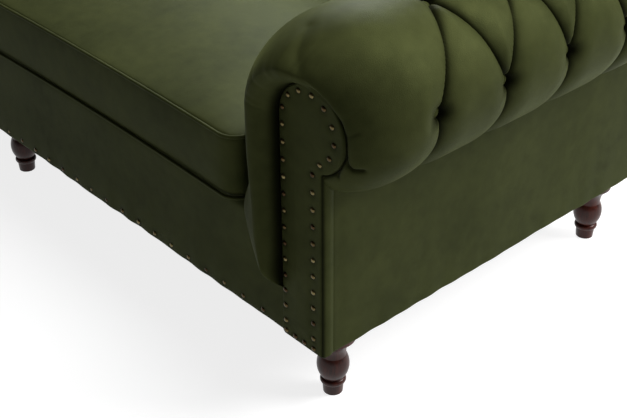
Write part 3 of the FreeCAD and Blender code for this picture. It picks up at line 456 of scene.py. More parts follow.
# %% The lip's shape by angle
LIP_ANGLES = [-79, -45, -10, 30, 70, 110, 180]
LIP_LENGTHS = [88, 92, 112, 122, 118, 112, 110]
LIP_BLUNTNESS = [0.52, 0.58, 0.7, 0.75, 0.75, 0.75, 0.75]
LIP_SWELLS = [0, 0, 0, 2, 16, 34, 35]
LIP_RIDGES = [0, 0, 0, 0.03, 0.16, 0.34, 0.35]
CHEEK_LENGTH = 11 * MM
LIP_DIVE = 7 * MM
LIP_ROWS = 64
CHEEK = [(0.195, 0.215), (0.178, 0.140), (0.103, 0.088)]
CHEEK_ROWS = 70


def head_point(angle):
    turn = np.radians(angle)
    return HEAD_INSET - HEAD_RADIUS * np.cos(turn), HEAD_HEIGHT + HEAD_RADIUS * np.sin(turn)


def lip_ends(inset, height):
    """For each column of the lip: its end on the facing's edge and its angle."""
    angle = np.degrees(np.arctan2(height - ROLL_HEIGHT, ROLL_INSET - inset))
    straight = (inset > 0.1) & (height < ROLL_HEIGHT)
    angle = np.where(straight, 180, angle)
    end_inset, end_height = head_point(angle)
    drop = (ROLL_HEIGHT - height) / (ROLL_HEIGHT - CHEEK[2][1])
    end_inset = np.where(straight, HEAD_INSET + HEAD_RADIUS, end_inset)
    fall = (HEAD_HEIGHT - CHEEK[2][1]) * drop
    end_height = np.where(straight, HEAD_HEIGHT - fall, end_height)
    return angle, end_inset, end_height


def lip_length(angle, height):
    length = np.interp(angle, LIP_ANGLES, LIP_LENGTHS) * MM
    low = ease((0.330 - height) / 0.110) * (angle > 170)
    return length + (CHEEK_LENGTH - length) * low


def lip_shape(angle, width, length):
    """Share of the way out from the facing, and distance behind it, down each column."""
    swell = np.interp(angle, LIP_ANGLES, LIP_SWELLS) * MM * ease(width / 0.060)
    ridge = np.interp(angle, LIP_ANGLES, LIP_RIDGES)
    bluntness = np.interp(angle, LIP_ANGLES, LIP_BLUNTNESS)
    outer_rows = LIP_ROWS * 3 // 4
    t = (np.linspace(1, 0, outer_rows) ** 1.3)[:, None]
    outer_share = ridge + (1 - ridge) * np.sin(math.pi / 2 * t ** bluntness)
    outer_y = -swell + (length + swell) * t
    turn = np.linspace(0, math.pi / 2, LIP_ROWS - outer_rows + 1)[1:, None]
    inner_share = ridge * (1 - np.sin(turn))
    inner_y = -swell * np.cos(turn)
    share = np.r_[outer_share, inner_share]
    y = np.r_[outer_y, inner_y]
    return share, y + LIP_DIVE * np.exp(-share * width / 0.005)


# %% [markdown]
# ## Creases in the lip
# Each arm has a few creases where the cloth was pulled round the scroll. Each is a short line
# of points on the lip: its angle round the roll and its share of the way out from the facing,
# then the crease's depth and width. Small gathers lie over the top and the inner side.

# %% Creases
GATHERS = 11
LIP_CREASES = [
    ([(-12, 0.02), (-24, 0.16), (-28, 0.32), (-27, 0.50)], 4.5 * MM, 3.5 * MM),
    ([(-38, 0.02), (-47, 0.16)], 3.0 * MM, 3.0 * MM),
    ([(12, 0.04), (13, 0.30)], 1.2 * MM, 3.0 * MM),
    ([(58, 0.02), (84, 0.22), (100, 0.55), (108, 0.85)], 3.0 * MM, 11.0 * MM),
]


def near_line(points, line):
    """The distance from each point to a line through a few points in space."""
    best = np.full(points.shape[:-1], 1.0)
    for a, b in zip(line[:-1], line[1:]):
        run = b - a
        share = np.clip(((points - a) @ run) / (run @ run), 0, 1)
        best = np.minimum(best, np.linalg.norm(points - a - share[..., None] * run, axis=-1))
    return best


def crease_lines(angle, points, share):
    """Depth of the creases at each point of the lip, and the painted shade along the narrow ones.
    """
    depth = np.zeros(points.shape[:-1])
    dark = depth.copy()
    for spots, deep, wide in LIP_CREASES:
        line = []
        for spot_angle, spot_share in spots:
            column = np.argmin(np.abs(angle - spot_angle))
            row = np.argmin(np.abs(share[:, column] - spot_share))
            line.append(points[row, column])
        steps = np.linspace(0, len(line) - 1, 25)
        whole = np.arange(len(line))
        line = np.array(line)
        smooth = np.stack([np.interp(steps, whole, line[:, k]) for k in range(3)], axis=1)
        near = near_line(points, smooth)
        depth = np.maximum(depth, deep * np.exp(-(near / wide) ** 1.5))
        # Narrow creases also get painted shade.
        if wide < 5 * MM:
            dark = np.maximum(dark, 0.8 * np.exp(-(near / 0.0030) ** 2) * min(deep / 0.003, 1))
    gathers = np.zeros_like(depth)
    rng = np.random.default_rng(5)
    for middle in np.linspace(64, 172, GATHERS) + rng.uniform(-5, 5, GATHERS):
        lean = rng.uniform(-12, 12)
        offset = (angle - middle - lean * share) * (math.pi / 180) * 0.1
        reach = np.exp(-((share - rng.uniform(0.3, 0.5)) / rng.uniform(0.12, 0.26)) ** 2)
        wide = rng.uniform(0.003, 0.007)
        gathers += rng.uniform(0.3, 1.1) * MM * np.exp(-(offset / wide) ** 2) * reach
    return depth + gathers * ease((angle - 55) / 20), dark


# %% What the arm and back covers share
MITRE_DEPTH = 9 * MM
MITRE_WIDTH = 9 * MM
MITRE_SHADE = 5 * MM
MITRE_CLEAR = 22 * MM
MITRE_OVERLAP = 30 * MM


def cover_form(foot_inset, step):
    """The profile with its outward direction, its button rows and how its edges hold still."""
    length, inset, height, rows = cover_profile(foot_inset, step)
    edge = ease(np.minimum(length, 0.03) / 0.03)
    overlap = MITRE_OVERLAP * ease((inset - 0.06) / 0.06)
    return (length, inset, height, *outward(inset, height)), rows, edge, overlap


def gathered(place, length, folds, hold):
    """The sheet's places drawn together at the folds, but not where its edges hold it."""
    moved, across = gather(place, length[None, :], folds)
    return (place * (1 - hold) + moved * hold,
            np.clip(length * (1 - hold) + across * hold, 0, length[-1]))


def draw_in(place, across, past_mitre, profile, folds, buttons, edge):
    """The sheet drawn in by its tufts and by the mitre between two covers."""
    length, inset, height, out_inset, out_height = profile
    depth, crease, lean = tuft_depth(place, across, folds, buttons)
    start_inset = np.interp(across, length, inset)
    mitre = np.abs(past_mitre(start_inset)) / math.sqrt(2)
    sunk = MITRE_DEPTH * np.exp(-mitre / MITRE_WIDTH)
    depth = (depth ** SHARPNESS + sunk ** SHARPNESS) ** (1 / SHARPNESS) * edge
    # Painted shade along the mitre seam.
    crease = np.maximum(crease, 0.9 * np.exp(-(mitre / MITRE_SHADE) ** 2))
    moved_inset = start_inset - np.interp(across, length, out_inset) * depth
    moved_height = (np.interp(across, length, height)
                    - np.interp(across, length, out_height) * depth)
    return moved_inset, moved_height, start_inset - moved_inset, crease, lean


def button_places(buttons, profile):
    """Each button's place along the roll, and the profile's point and direction there."""
    length = profile[0]
    return [(x, *(float(np.interp(v, length, values)) for values in profile[1:]))
            for x, v in buttons]


# %% Arm cover
GRID_STEP = 3.4 * MM
FIRST_TUFT = 140 * MM
FIRST_ROW = facing_y + FIRST_TUFT
ARM_TUFTS = 5
LAST_PLEAT = 10 * MM


def pinch(height, y):
    """The cover is narrower beside the seat's front corner, where the cushion presses on it."""
    return 9 * MM * ease((0.36 - height) / 0.14) * (1 - ease((y - facing_y) / 0.12))


def arm_pleats(rows, length, rng):
    """The arm's folds and buttons, with two folds that end in the mitre."""
    folds, buttons = pleats_and_buttons(range(-1, ARM_TUFTS), rows, length[-1] + 0.02, -0.01, rng)
    last = (ARM_TUFTS - 0.5) * TUFT_PITCH
    folds += [(last, rows[1], last + TUFT_PITCH / 2, row, PLEAT_END, LAST_PLEAT, 0)
              for row in (rows[0], rows[2])]
    return ([fold for fold in folds if min(fold[0], fold[2]) > -1 * MM],
            [button for button in buttons if button[0] > -1 * MM])


def arm_sheet(profile, edge, overlap, folds, buttons):
    """The long sheet from the lip to the mitre with the back."""
    length, inset, height = profile[:3]
    angle = lip_ends(inset, height)[0]
    start = facing_y + lip_length(angle, height)
    finish = rear_y - inset + overlap
    share = np.linspace(0, 1, round((rear_y - facing_y) / GRID_STEP))[:, None]
    hold = ease(np.minimum(share, 1 - share) / 0.02) * edge
    along, across = gathered(start + (finish - start) * share - FIRST_ROW, length, folds, hold)
    y = along + FIRST_ROW
    moved_inset, moved_height, sunk, crease, lean = draw_in(
        along, across, lambda start_inset: y - (rear_y - start_inset), profile,
        folds, buttons, edge)
    y = y + sunk * share ** 10 * (overlap < 1 * MM)
    y = y + lean * hold * (1 - ease((share - 0.9) / 0.08))
    moved_inset = moved_inset - pinch(moved_height, y)
    return np.stack([moved_inset, y, moved_height], axis=2), crease


def arm_lip(profile, edge, folds, buttons):
    """The lip round the facing: the sheet's columns and then those of the cheek."""
    length, inset, height, out_inset, out_height = profile
    bend = np.linspace(0, 1, CHEEK_ROWS + 1)[1:, None]
    first, middle, last = np.array(CHEEK)
    cheek = (1 - bend) ** 2 * first + 2 * bend * (1 - bend) * middle + bend ** 2 * last
    shared = height > CHEEK[0][1]

    def with_cheek(values, rest=None):
        values = values[shared]
        return np.r_[values, np.full(CHEEK_ROWS, values[-1]) if rest is None else rest]

    full_inset, full_height = with_cheek(inset, cheek[:, 0]), with_cheek(height, cheek[:, 1])
    angle, end_inset, end_height = lip_ends(full_inset, full_height)
    width = np.hypot(full_inset - end_inset, full_height - end_height)
    share, y = lip_shape(angle, width, lip_length(angle, full_height))
    y = y + facing_y
    depth, crease = tuft_depth(y - FIRST_ROW, with_cheek(length)[None, :], folds, buttons)[:2]
    depth = depth * share * with_cheek(edge, np.ones(CHEEK_ROWS))
    lip_inset = end_inset + (full_inset - end_inset) * share - with_cheek(out_inset) * depth
    lip_height = end_height + (full_height - end_height) * share - with_cheek(out_height) * depth
    lip = np.stack([lip_inset, y, lip_height], axis=2)
    lip[..., 0] -= pinch(lip[..., 2], lip[..., 1]) * np.clip(share / 0.4, 0, 1)

    # The creases are pressed in along the lip's own normals.
    crease_depth, dark = crease_lines(angle, lip, share)
    normal = np.cross(np.gradient(lip, axis=0), np.gradient(lip, axis=1))
    normal /= np.linalg.norm(normal, axis=2, keepdims=True) + 1e-12
    outside = lip - np.array([ROLL_INSET + 0.01, facing_y + 0.1, ROLL_HEIGHT - 0.02])
    normal *= np.sign((normal * outside).sum(axis=2, keepdims=True))
    fade = ease(np.linspace(0, 1, LIP_ROWS) / 0.15)[:, None]
    lip = lip - normal * (crease_depth * fade)[..., None]
    # Painted shade in the lip's creases, and a near-black band where the lip dives in behind the
    # facing's edge.
    crease = np.maximum(crease * share, dark * fade)
    return lip, np.maximum(crease, 0.95 * np.exp(-(share * width / 0.004) ** 2))


def arm_cover(side, seed):
    profile, rows, edge, overlap = cover_form(ARM_DEPTH, GRID_STEP)
    folds, buttons = arm_pleats(rows, profile[0], np.random.default_rng(seed))
    sheet, crease = arm_sheet(profile, edge, overlap, folds, buttons)
    lip, lip_painted_shade = arm_lip(profile, edge, folds, buttons)
    inset, y, height = np.r_[sheet.reshape(-1, 3), lip.reshape(-1, 3)].T
    points = np.stack([side * (outer_x - inset), y, base_z + height], axis=1)
    faces = np.r_[grid_faces(*sheet.shape[:2], flip=side > 0),
                  grid_faces(*lip.shape[:2], first=crease.size, flip=side < 0)]
    name = side_name(side)
    piece = new_piece(name + "_arm_velvet", points, faces, velvet,
                      crease=np.r_[crease.ravel(), lip_painted_shade.ravel()])
    weld(piece, 0.0004)
    dress(piece, [name + "_arm_cover"])
    return [place for place in button_places(buttons, profile)
            if FIRST_ROW + place[0] < rear_y - place[1] - MITRE_CLEAR]


arm_places = [arm_cover(1, 11), arm_cover(-1, 23)]
print("buttons on an arm", len(arm_places[0]))

# %% [markdown]
# ## Back cover
# The back is tufted in the same way and at the same height. It grows thicker towards the
# seat, and meets the arms in a mitre, where both covers sink into one seam.

# %% Back cover
BACK_TUFTS = 12
BACK_STEP = 4.2 * MM


def back_cover(seed):
    rng = np.random.default_rng(seed)
    profile, rows, edge, overlap = cover_form(BACK_DEPTH, BACK_STEP)
    length, inset = profile[:2]
    numbers = np.arange(BACK_TUFTS) - (BACK_TUFTS - 1) / 2
    folds, buttons = pleats_and_buttons(numbers, rows, length[-1] + 0.02, -0.01, rng)
    buttons = buttons + [(-BACK_TUFTS / 2 * TUFT_PITCH, rows[1])]
    count = round(2 * (outer_x + ROLL_RADIUS - ROLL_INSET) / BACK_STEP)
    share = np.linspace(-1, 1, count)[:, None]
    hold = ease((1 - np.abs(share)) / 0.02) * edge
    x, across = gathered((outer_x - inset + overlap) * share, length, folds, hold)
    moved_inset, moved_height, sunk, crease, lean = draw_in(
        x, across, lambda start_inset: np.abs(x) - (outer_x - start_inset), profile,
        folds, buttons, edge)
    x = x + sunk * share ** 11 * (overlap < 1 * MM) + lean * hold
    points = np.stack([x, rear_y - moved_inset, base_z + moved_height], axis=2)
    piece = new_piece("back_velvet", points, grid_faces(*points.shape[:2], flip=True), velvet,
                      crease=crease)
    weld(piece, 0.0002)
    dress(piece, ["back_cover"])
    return [place for place in button_places(buttons, profile)
            if abs(place[0]) < outer_x - place[1] - MITRE_CLEAR]


back_places = back_cover(37)
print("buttons on the back", len(back_places))

# %% [markdown]
# ## Facing
# The facing is a padded board in the shape of a scroll. It is built in rows between its left
# and right edges, with a small round over along its edge, and sinks a little round each nail.

# %% Facings
FACING_ROUND = 5 * MM
FACING_THICKNESS = 11.5 * MM
FACING_DROP = 3 * MM
FACING_INSET = 3 * MM
FACING_STRAIGHT = 345 * MM
FACING_CUSHION = 1.0 * MM
NAIL_DIMPLE = 1.3 * MM
NAIL_FOOT = 28 * MM
NAIL_BASE = 7 * MM
NAIL_COLUMN_PITCH, NAIL_HEAD_PITCH, NAIL_BASE_PITCH = 31 * MM, 28.7 * MM, 22.3 * MM
DIMPLE_WIDTH, DIMPLE_SHADE = 7 * MM, 6.8 * MM
NAIL_COLUMNS = (24 * MM, 91 * MM)
NAIL_CIRCLE = 57 * MM
NAIL_NECK = -61
NAIL_SLANT = 26 * MM
NAIL_SEAT = 0.7 * MM


def spaced(points, pitch):
    """Points at an even pitch, as near as fits, along a line of short pieces."""
    points = np.array(points)
    lengths = np.r_[0, np.cumsum(np.linalg.norm(np.diff(points, axis=0), axis=1))]
    even = np.linspace(0, lengths[-1], round(lengths[-1] / pitch) + 1)
    return np.stack([np.interp(even, lengths, points[:, k]) for k in (0, 1)], axis=1).tolist()


def nail_places():
    """Inset and height of each nail of a facing: two columns, the scroll and the foot."""
    outer, inner = NAIL_COLUMNS
    middle = inner - NAIL_CIRCLE
    ring = [(middle - NAIL_CIRCLE * math.cos(math.radians(angle)),
             HEAD_HEIGHT + NAIL_CIRCLE * math.sin(math.radians(angle)))
            for angle in np.linspace(180, NAIL_NECK, 41)]
    start = (inner, HEAD_HEIGHT - 0.016)
    finish = (outer, ring[-1][1] - NAIL_SLANT)
    spots = []
    for line, pitch in (([(inner, NAIL_FOOT), start], NAIL_COLUMN_PITCH),
                        ([start] + ring + [finish], NAIL_HEAD_PITCH),
                        ([finish, (outer, NAIL_FOOT)], NAIL_COLUMN_PITCH),
                        ([(outer, NAIL_BASE), (inner, NAIL_BASE)], NAIL_BASE_PITCH)):
        run = spaced(line, pitch)
        joined = spots and math.dist(spots[-1], run[0]) < pitch / 2
        spots += run[1:] if joined else run
    return spots


nail_spots = nail_places()
print("nails on a facing", len(nail_spots))


def facing_edges(height):
    """The inset of the facing's outer and inner edge at a height."""
    rise = HEAD_RADIUS ** 2 - (height - HEAD_HEIGHT) ** 2
    half_width = np.sqrt(np.maximum(rise, 0))
    neck = HEAD_HEIGHT - math.sqrt(HEAD_RADIUS ** 2 - (HEAD_INSET - FACING_INSET) ** 2)
    left = np.where(height < neck, FACING_INSET, HEAD_INSET - half_width)
    right = np.where(height < HEAD_HEIGHT, HEAD_INSET + HEAD_RADIUS, HEAD_INSET + half_width)
    wider = 3 * MM * (1 - ease(height / 0.08))
    rounded = 6 * MM * (1 - ease((height + FACING_DROP) / 0.009))
    return left, right + wider - rounded


def facing(side):
    straight = np.linspace(-FACING_DROP, FACING_STRAIGHT, 117)
    rounded = HEAD_HEIGHT + HEAD_RADIUS * np.sin(np.linspace(math.asin(-0.95), math.pi / 2, 80))
    height = np.r_[straight, rounded]
    left, right = facing_edges(height)
    across = (1 - np.cos(np.linspace(0, math.pi, 49))) / 2
    inset = left[:, None] + (right - left)[:, None] * across
    heights = np.broadcast_to(height[:, None], inset.shape)
    from_side = np.minimum(inset - left[:, None], right[:, None] - inset)
    from_head = HEAD_RADIUS - np.hypot(inset - HEAD_INSET, heights - HEAD_HEIGHT)
    edge = np.where(heights > HEAD_HEIGHT, from_head, np.minimum(from_side, 0.2))
    edge = np.minimum(edge, heights + FACING_DROP)
    over = np.clip(1 - edge / FACING_ROUND, 0, 1)
    rise = FACING_ROUND * (1 - np.sqrt(np.clip(1 - over ** 2, 0, 1)))
    nails = np.min([np.hypot(inset - a, heights - b) for a, b in nail_spots], axis=0)
    rise = rise + NAIL_DIMPLE * np.exp(-(nails / DIMPLE_WIDTH) ** 2) * (over < 0.2)
    rise = rise - FACING_CUSHION * ease((edge - 0.02) / 0.02)
    points = np.stack([side * (outer_x - inset), facing_y + rise, base_z + heights], axis=2)
    loop = np.r_[points[:, 0], points[-1, 1:], points[::-1, -1][1:], points[0, ::-1][1:]]
    back = loop.copy()
    back[:, 1] = facing_y + FACING_THICKNESS
    # Painted shade: darker round each nail and over the rounded edge, and near black on the
    # board's edge walls.
    crease = np.maximum(0.7 * np.exp(-(nails / DIMPLE_SHADE) ** 2), 0.5 * over ** 2)
    faces = np.r_[grid_faces(*points.shape[:2], flip=side > 0),
                  grid_faces(2, len(loop), first=crease.size)]
    name = side_name(side)
    piece = new_piece(name + "_facing_velvet",
                      np.r_[points.reshape(-1, 3), loop, back], faces, velvet,
                      crease=np.r_[crease.ravel(), np.full(2 * len(loop), 0.9)])
    weld(piece, 0.0001)
    return dress(piece, [name + "_arm_facing"])


for side in (1, -1):
    facing(side)

# %% [markdown]
# ## Plain panels
# The outsides of the arms and back, and the front border, are velvet pulled flat over card and
# wadding. They are never quite flat: the cloth is a little full in the middle, rolls over the
# lower edge and waves faintly between the staples under it. The outside arm ends in a rounded
# band beside the facing, with a groove on each side of it. The border hangs a little below the
# rail, is fullest there, and runs on over the seat's front edge.

# %% Plain panels
EDGE_ROUND = 2.5 * MM
PANEL_TOP = 306 * MM
PANEL_ROWS = np.r_[np.linspace(0, 0.04, 9), np.linspace(0.04, 1, 44)[1:]][None, :]
CORNER_ROUND = 6 * MM
BAND_MIDDLE, BAND_HALF, BAND_END = 12.5 * MM, 11.5 * MM, 24 * MM


def soft_waves(along, height, rng):
    """Faint fullness of a panel: broad waves, and small puckers along the lower edge."""
    waves = np.zeros(np.broadcast(along, height).shape)
    for turn in range(7):
        tilt = rng.uniform(-0.5, 0.5)
        phase, size = rng.uniform(0, 6.28), rng.uniform(0.15, 0.4) * MM
        waves += size * np.sin((along + tilt * height) * rng.uniform(9, 26) + phase)
    for turn in range(3):
        phase, pace = rng.uniform(0, 6.28), rng.uniform(70, 120)
        waves += 0.35 * MM * np.sin(along * pace + phase) * np.exp(-height / 0.03)
    return waves


def lower_edge(height):
    """How far the cloth turns in at the panel's lower edge."""
    over = np.clip(1 - height / EDGE_ROUND, 0, 1)
    return EDGE_ROUND * (1 - np.sqrt(1 - over ** 2))


def round_corner(gap):
    """How far a panel turns in near its upright end."""
    over = np.clip(1 - gap / CORNER_ROUND, 0, 1)
    return CORNER_ROUND * (1 - np.sqrt(1 - over ** 2))


def outside_arm(side, seed):
    rng = np.random.default_rng(seed)
    reach = rear_y - facing_y
    along = np.r_[np.linspace(0, 0.034, 30), np.linspace(0.034, reach, 150)[1:]][:, None]
    top = PANEL_TOP + 40 * MM * (1 - ease((along - 0.004) / 0.060))
    height = top * PANEL_ROWS
    out = 1.2 * MM * ease((along - 0.026) / 0.03) + soft_waves(along, height, rng)
    out = out * ease((along - BAND_END) / 0.02)
    round_band = np.sqrt(np.clip(1 - ((along - BAND_MIDDLE) / BAND_HALF) ** 2, 0, 1))
    soft_band = np.exp(-((along - BAND_MIDDLE) / 0.011) ** 2)
    band = -3.0 * MM + 5.0 * MM * np.where(along < BAND_MIDDLE, round_band, soft_band)
    out = np.where(along < BAND_END, band, np.maximum(out, band) - 0.6 * MM)
    out = np.minimum(out - round_corner(reach - along) - lower_edge(height), 4 * MM)
    # Painted shade in the groove beside the facing and, fainter, beside the band.
    shade_beside_facing = 0.85 * np.exp(-((along - 0.0005) / 0.003) ** 2)
    shade_beside_band = 0.12 * np.exp(-((along - 0.026) / 0.004) ** 2)
    y = facing_y + along + 0 * out
    points = np.stack([side * (outer_x + out), y, base_z + height], axis=2)
    name = side_name(side)
    piece = new_piece(name + "_outside_velvet", points,
                      grid_faces(*points.shape[:2], flip=side < 0), velvet,
                      crease=shade_beside_facing + shade_beside_band + 0 * height)
    return dress(piece, [name + "_outside_arm"])


def outside_back(seed):
    rng = np.random.default_rng(seed)
    along = np.linspace(-outer_x, outer_x, 420)[:, None]
    height = PANEL_TOP * PANEL_ROWS
    out = 1.0 * MM + soft_waves(along, height, rng) - lower_edge(height)
    out = out - round_corner(outer_x - np.abs(along))
    points = np.stack([along + 0 * out, rear_y + out, base_z + height + 0 * out], axis=2)
    piece = new_piece("back_outside_velvet", points, grid_faces(*points.shape[:2]), velvet,
                      crease=np.zeros(out.shape))
    return dress(piece, ["outside_back"])


for side, seed in ((1, 3), (-1, 4)):
    outside_arm(side, seed)
outside_back(5)

# %% The front border
BORDER_DROP = 3 * MM
BORDER_BEND = 24 * MM
BORDER_RUN = 30 * MM
BORDER_FULLNESS = 1.4 * MM
FOOT_FULLNESS = 5 * MM
BORDER_DIMPLE = 0.6 * MM
BORDER_MARGIN = 58 * MM
BORDER_NAIL_HEIGHT = 10 * MM
BORDER_NAILS = 35
border_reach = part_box("front_border")[1].x - BORDER_MARGIN
border_spots = [(x, BORDER_NAIL_HEIGHT)
                for x in np.linspace(-border_reach, border_reach, BORDER_NAILS)]


def border(seed):
    """The front border, from under the rail up over the seat's front edge."""
    rng = np.random.default_rng(seed)
    low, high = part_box("front_border")
    rise = high.z - low.z
    along = np.linspace(-high.x, high.x, 480)[:, None]
    flat = rise - BORDER_BEND
    path = [(0.0, z) for z in np.linspace(-BORDER_DROP, flat, 54)]
    path += [(BORDER_BEND * (1 - math.cos(t)), flat + BORDER_BEND * math.sin(t))
             for t in np.linspace(0, math.pi / 2, 12)[1:]]
    path += [(BORDER_BEND + step, rise) for step in np.linspace(0, BORDER_RUN, 6)[1:]]
    back, height = np.array(path).T
    out = BORDER_FULLNESS * np.sin(np.clip(height / flat, 0, 1) * math.pi) ** 0.7
    out = out + FOOT_FULLNESS * (1 - ease(height / 0.12))
    out = out + soft_waves(along, height[None, :], rng) * ease((0.19 - height) / 0.03)
    nails = np.min([np.hypot(along - spot[0], height - spot[1]) for spot in border_spots], axis=0)
    out = out - BORDER_DIMPLE * np.exp(-(nails / DIMPLE_WIDTH) ** 2)
    out = out - lower_edge(height + BORDER_DROP)
    y = low.y + back[None, :] - out
    points = np.stack([along + 0 * y, y, base_z + height[None, :] + 0 * y], axis=2)
    # Painted shade round each nail's dimple.
    crease = 0.75 * np.exp(-(nails / DIMPLE_SHADE) ** 2)
    piece = new_piece("front_border_velvet", points, grid_faces(*points.shape[:2]), velvet,
                      crease=crease)
    return dress(piece, ["front_border", "front_edge_roll"])


border(6)

# %% [markdown]
# ## Nails and buttons
# Domed brass nails and covered buttons are one small turned shape each, repeated along a line
# or a pattern. Geometry Nodes place the copies: the points carry the direction that each copy
# faces, and every copy gets its own size and its own number called tone, which the brass uses
# to look more or less worn.

# %% A turned master and its copies
def turned(name, profile, material, steps=20):
    """A solid of revolution round the z axis from (radius, height) pairs, top first."""
    angles = np.linspace(0, 2 * math.pi, steps, endpoint=False)
    points = [(0, 0, profile[0][1])]
    for radius, height in profile[1:]:
        points += [(radius * math.cos(a), radius * math.sin(a), height) for a in angles]
    faces = [(0, 1 + k, 1 + (k + 1) % steps) for k in range(steps)]
    for ring in range(len(profile) - 2):
        first, second = 1 + ring * steps, 1 + (ring + 1) * steps
        faces += [(first + k, second + k, second + (k + 1) % steps, first + (k + 1) % steps)
                  for k in range(steps)]
    master = new_piece(name, points, faces, material)
    bpy.context.scene.collection.objects.unlink(master)
    return master


def copies_tree(name):
    """The node tree that puts a turned copy on each point."""
    tree = bpy.data.node_groups.new(name, "GeometryNodeTree")
    sockets = {}
    for label, kind in (("Points", "Geometry"), ("Master", "Object"), ("Finish", "Material"),
                        ("Smallest", "Float"), ("Largest", "Float"), ("Seed", "Int")):
        sockets[label] = tree.interface.new_socket(label, in_out="INPUT",
                                                   socket_type="NodeSocket" + kind).identifier
    tree.interface.new_socket("Pieces", in_out="OUTPUT", socket_type="NodeSocketGeometry")
    given = tree.nodes.new("NodeGroupInput").outputs
    master = add(tree, "GeometryNodeObjectInfo", {"Object": given["Master"]})
    way = add(tree, "GeometryNodeInputNamedAttribute", {"Name": "way"}, data_type="FLOAT_VECTOR")
    turn = add(tree, "FunctionNodeAlignRotationToVector",
               {"Vector": way.outputs["Attribute"]}, axis="Z")
    size = add(tree, "FunctionNodeRandomValue", {"Seed": given["Seed"]}, data_type="FLOAT")
    tree.links.new(given["Smallest"], size.inputs[2])
    tree.links.new(given["Largest"], size.inputs[3])
    tone = add(tree, "FunctionNodeRandomValue", {"Seed": 7}, data_type="FLOAT")
    placed = add(tree, "GeometryNodeInstanceOnPoints",
                 {"Points": given["Points"], "Instance": master.outputs["Geometry"],
                  "Rotation": turn.outputs["Rotation"], "Scale": size.outputs[1]})
    stored = add(tree, "GeometryNodeStoreNamedAttribute",
                 {"Geometry": placed.outputs["Instances"], "Name": "tone",
                  "Value": tone.outputs[1]}, data_type="FLOAT", domain="INSTANCE")
    real = add(tree, "GeometryNodeRealizeInstances", {"Geometry": stored.outputs["Geometry"]})
    done = add(tree, "GeometryNodeSetMaterial",
               {"Geometry": real.outputs["Geometry"], "Material": given["Finish"]})
    out = tree.nodes.new("NodeGroupOutput")
    tree.links.new(done.outputs["Geometry"], out.inputs["Pieces"])
    return tree, sockets


copies, copy_sockets = copies_tree("place_copies")


def place_copies(name, master, spots, ways, material, seed, smallest=0.95, largest=1.04):
    rng = np.random.default_rng(seed)
    ways = np.array(ways) + rng.normal(0, 0.04, (len(ways), 3))
    mesh = bpy.data.meshes.new(name + "_points")
    mesh.from_pydata([tuple(map(float, spot)) for spot in spots], [], [])
    attribute = mesh.attributes.new("way", "FLOAT_VECTOR", "POINT")
    attribute.data.foreach_set("vector", ways.astype(np.float32).ravel())
    holder = bpy.data.objects.new(name + "_points", mesh)
    bpy.context.scene.collection.objects.link(holder)
    modifier = holder.modifiers.new("copies", "NODES")
    modifier.node_group = copies
    for label, value in (("Master", master), ("Finish", material), ("Smallest", smallest),
                         ("Largest", largest), ("Seed", seed)):
        modifier[copy_sockets[label]] = value
    bpy.context.view_layer.update()
    graph = bpy.context.evaluated_depsgraph_get()
    made = bpy.data.meshes.new_from_object(holder.evaluated_get(graph))
    holder.modifiers.clear()
    bpy.data.objects.remove(holder)
    piece = bpy.data.objects.new(name, made)
    made.shade_smooth()
    bpy.context.scene.collection.objects.link(piece)
    return piece


# %% [markdown]
# ## Antique brass
# The nail heads are brass with a dark lacquer that has worn off their tops. The tone of each
# nail and a fine speckle shift the colour between brown and dull gold.

# %% Antique brass
def brass_material():
    material, tree, shader = new_material("antique_brass")
    place = add(tree, "ShaderNodeTexCoord").outputs["Object"]
    tone = add(tree, "ShaderNodeAttribute", attribute_name="tone").outputs["Fac"]
    speckle = noise(tree, place, 700.0, 3.0)
    worn = ramp(tree, mix(tree, 0.5, tone, speckle), [
        (0.25, linear(52, 36, 22)), (0.5, linear(78, 66, 40)), (0.8, linear(112, 102, 68))])
    tree.links.new(worn, shader.inputs["Base Color"])
    tree.links.new(bump(tree, speckle, 0.2, 0.0003), shader.inputs["Normal"])
    shader.inputs["Metallic"].default_value = 1.0
    shader.inputs["Roughness"].default_value = 0.32
    return material


brass = brass_material()
nail_master = turned("nail_master", [(0, 2.6 * MM), (1.5 * MM, 2.45 * MM), (2.9 * MM, 1.9 * MM),
                                     (4.0 * MM, 1.1 * MM), (4.7 * MM, 0.3 * MM), (4.8 * MM, 0),
                                     (4.6 * MM, -0.3 * MM), (0.9 * MM, -0.3 * MM),
                                     (0.9 * MM, -6 * MM)], brass)
for side in (1, -1):
    name = side_name(side)
    spots = [(side * (outer_x - a), facing_y + NAIL_SEAT, base_z + b) for a, b in nail_spots]
    nails = place_copies(name + "_facing_brass_nails", nail_master, spots,
                         [(0, -1, 0)] * len(spots), brass, 31 + side)
    dress(nails, [name + "_facing_nails"])
spots = [(x, border_y - FOOT_FULLNESS + 0.6 * MM, base_z + z) for x, z in border_spots]
nails = place_copies("border_brass_nails", nail_master, spots, [(0, -1, 0)] * len(spots),
                     brass, 35)
dress(nails, ["border_nails"])

# %% Covered buttons
button_master = turned("button_master", [(0, 7 * MM), (3 * MM, 6.8 * MM), (6 * MM, 5.9 * MM),
                                         (8.6 * MM, 4.2 * MM), (10.4 * MM, 2.0 * MM), (11 * MM, 0),
                                         (10.4 * MM, -1.2 * MM)], velvet, 24)


def arm_button(side, place):
    along, inset, height, spread, rise = place
    inset, height = inset - spread * PIT_DEPTH, height - rise * PIT_DEPTH
    spot = (side * (outer_x - inset), FIRST_ROW + along, base_z + height)
    return spot, (-side * spread, 0, rise)


for side, places in zip((1, -1), arm_places):
    name = side_name(side)
    spots, ways = zip(*[arm_button(side, place) for place in places])
    buttons = place_copies(name + "_velvet_buttons", button_master, spots, ways, velvet, 41)
    dress(buttons, [name + "_arm_buttons"])
spots = [(x, rear_y - (a - s * PIT_DEPTH), base_z + b - r * PIT_DEPTH)
         for x, a, b, s, r in back_places]
ways = [(0, -s, r) for x, a, b, s, r in back_places]
buttons = place_copies("back_velvet_buttons", button_master, spots, ways, velvet, 43)
dress(buttons, ["back_buttons"])

